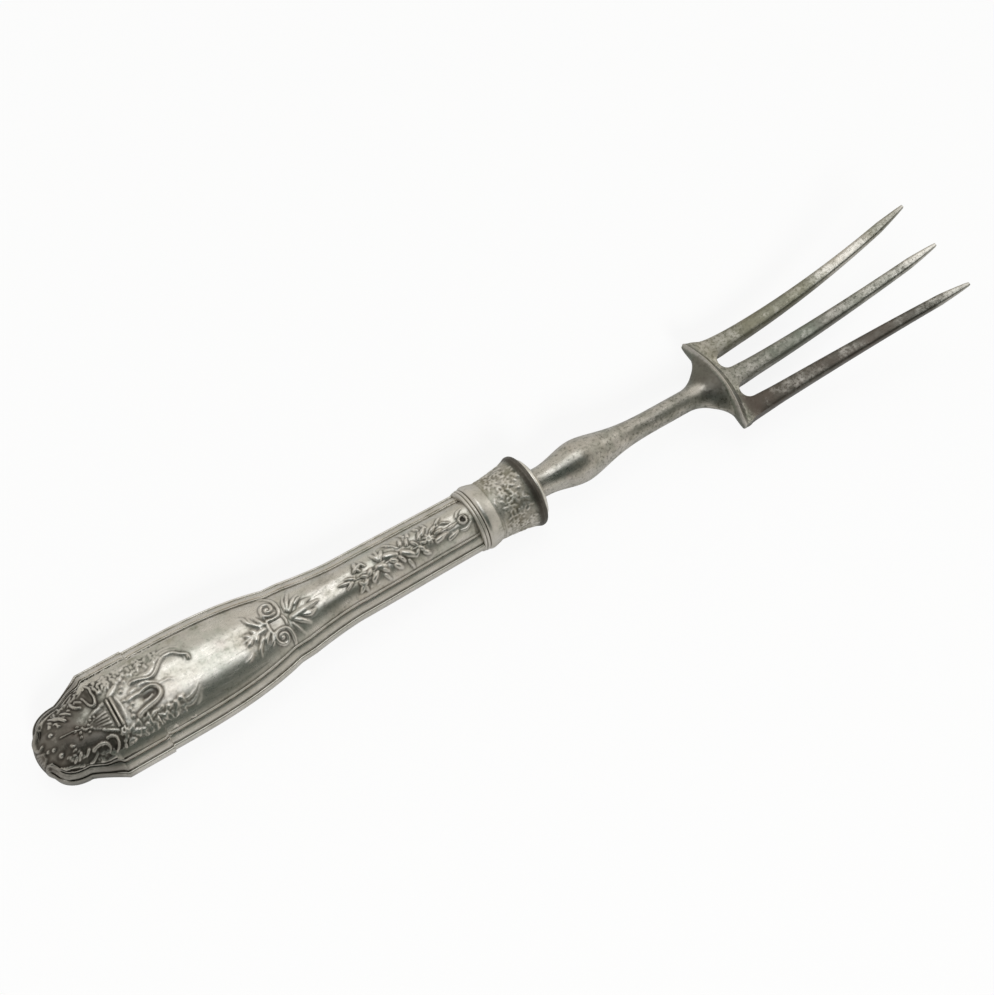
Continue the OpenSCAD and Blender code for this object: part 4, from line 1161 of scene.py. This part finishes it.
def fittedCamera():
    tilt, heading, roll = (math.radians(view[k]) for k in ("elevation", "heading", "roll"))
    right = np.array([math.cos(heading), -math.sin(heading), 0])
    ahead = np.array([math.sin(heading), math.cos(heading), 0])
    rising = np.array([0, 0, 1])
    upward = ahead * math.sin(tilt) + rising * math.cos(tilt)
    back = -ahead * math.cos(tilt) + rising * math.sin(tilt)
    axes = (math.cos(roll) * right + math.sin(roll) * upward,
            -math.sin(roll) * right + math.cos(roll) * upward, back)
    origin, at, *ends = lay([(0, 0, 0), view["position"], *axes])
    columns = Matrix([Vector(end - origin).normalized() for end in ends]).transposed()
    data = bpy.data.cameras.new("camera")
    data.sensor_fit = "HORIZONTAL"
    data.sensor_width = view["sensor"]
    data.lens = view["focal"] * view["sensor"] / view["pixels"]
    data.clip_start = 0.01
    camera = link("camera", data)
    camera.matrix_world = Matrix.Translation(Vector(at)) @ columns.to_4x4()
    return camera


bpy.context.scene.camera = fittedCamera()

# Plain pale floor. Rays that come from the camera or from metal see most of it as a plain glow.
stage = {"half": 4, "color": (0.9, 0.9, 0.9, 1), "roughness": 0.9, "glow": 0.87, "glossyShare": 0.45,
         "glossyGlow": 0.36}


def paperMaterial():
    mat, net, shader = material("paper")
    net.feed(shader, {"Base Color": stage["color"], "Roughness": stage["roughness"]})
    rays = net.add("ShaderNodeLightPath").outputs
    strength = net.ramp(rays["Is Glossy Ray"], 0.0, 1.0, 1.0, stage["glossyGlow"])
    glow = net.add("ShaderNodeEmission", {"Strength": strength})
    seen = net.plus(rays["Is Camera Ray"], rays["Is Transmission Ray"],
                    net.times(rays["Is Glossy Ray"], stage["glossyShare"]))
    nodes = mat.node_tree.nodes
    both = net.add("ShaderNodeMixShader", {0: net.times(seen, stage["glow"]),
                                           1: nodes["Principled BSDF"].outputs[0], 2: glow.outputs[0]})
    net.feed(nodes["Material Output"].inputs, {"Surface": both.outputs[0]})
    return mat


floorMesh = bpy.data.meshes.new("floor")
h = stage["half"]
floorMesh.from_pydata([(-h, -h, 0), (h, -h, 0), (h, h, 0), (-h, h, 0)], [], [(0, 1, 2, 3)])
floor = link("floor", floorMesh)
floorMesh.materials.append(paperMaterial())

# Soft lamps: the window makes the highlight, and fill lights only the floor, for the shadow's direction.
lamps = {
    "window": {"at": (0.15, 0.5, 2.66), "size": (1.3, 1.6), "power": 10.2, "tint": (0.94, 0.97, 1.0)},
    "side": {"at": (1.6, 0.3, 1.0), "size": (0.7, 0.7), "power": 1.6, "tint": (1.0, 0.99, 0.97)},
    "fill": {"at": (-0.5, -1.3, 1.1), "size": (0.5, 0.5), "power": 18.0, "tint": (1.0, 1.0, 1.0)},
}
for name, lamp in lamps.items():
    data = bpy.data.lights.new(name, "AREA")
    data.shape = "RECTANGLE"
    data.size, data.size_y = lamp["size"]
    data.energy = lamp["power"]
    data.color = lamp["tint"]
    obj = link(name, data)
    obj.location = lamp["at"]
    obj.rotation_euler = (-Vector(lamp["at"])).to_track_quat("-Z", "Y").to_euler()
    obj.visible_camera = False
    obj.visible_glossy = name != "fill"

# Pale walls all round, and a dim ceiling above the camera.
room = {"ceilingAt": (-0.2, -0.46, 0.865), "from": 0.55, "to": 0.88,
        "walls": (0.71, 0.695, 0.65, 1), "ceiling": (0.066, 0.084, 0.074, 1)}


def roomWorld():
    world = bpy.data.worlds.new("room")
    world.use_nodes = True
    net = Net(world.node_tree)
    direction = net.add("ShaderNodeTexCoord").outputs["Generated"]
    overhead = net.add("ShaderNodeVectorMath", {0: direction, 1: room["ceilingAt"]}, operation="DOT_PRODUCT")
    sky = net.blend(net.ramp(overhead.outputs["Value"], room["from"], room["to"]), room["walls"],
                    room["ceiling"])
    net.feed(world.node_tree.nodes["Background"].inputs, {"Color": sky})
    return world


bpy.context.scene.world = roomWorld()
bpy.context.scene.view_settings.view_transform = "Standard"
print("stage set")
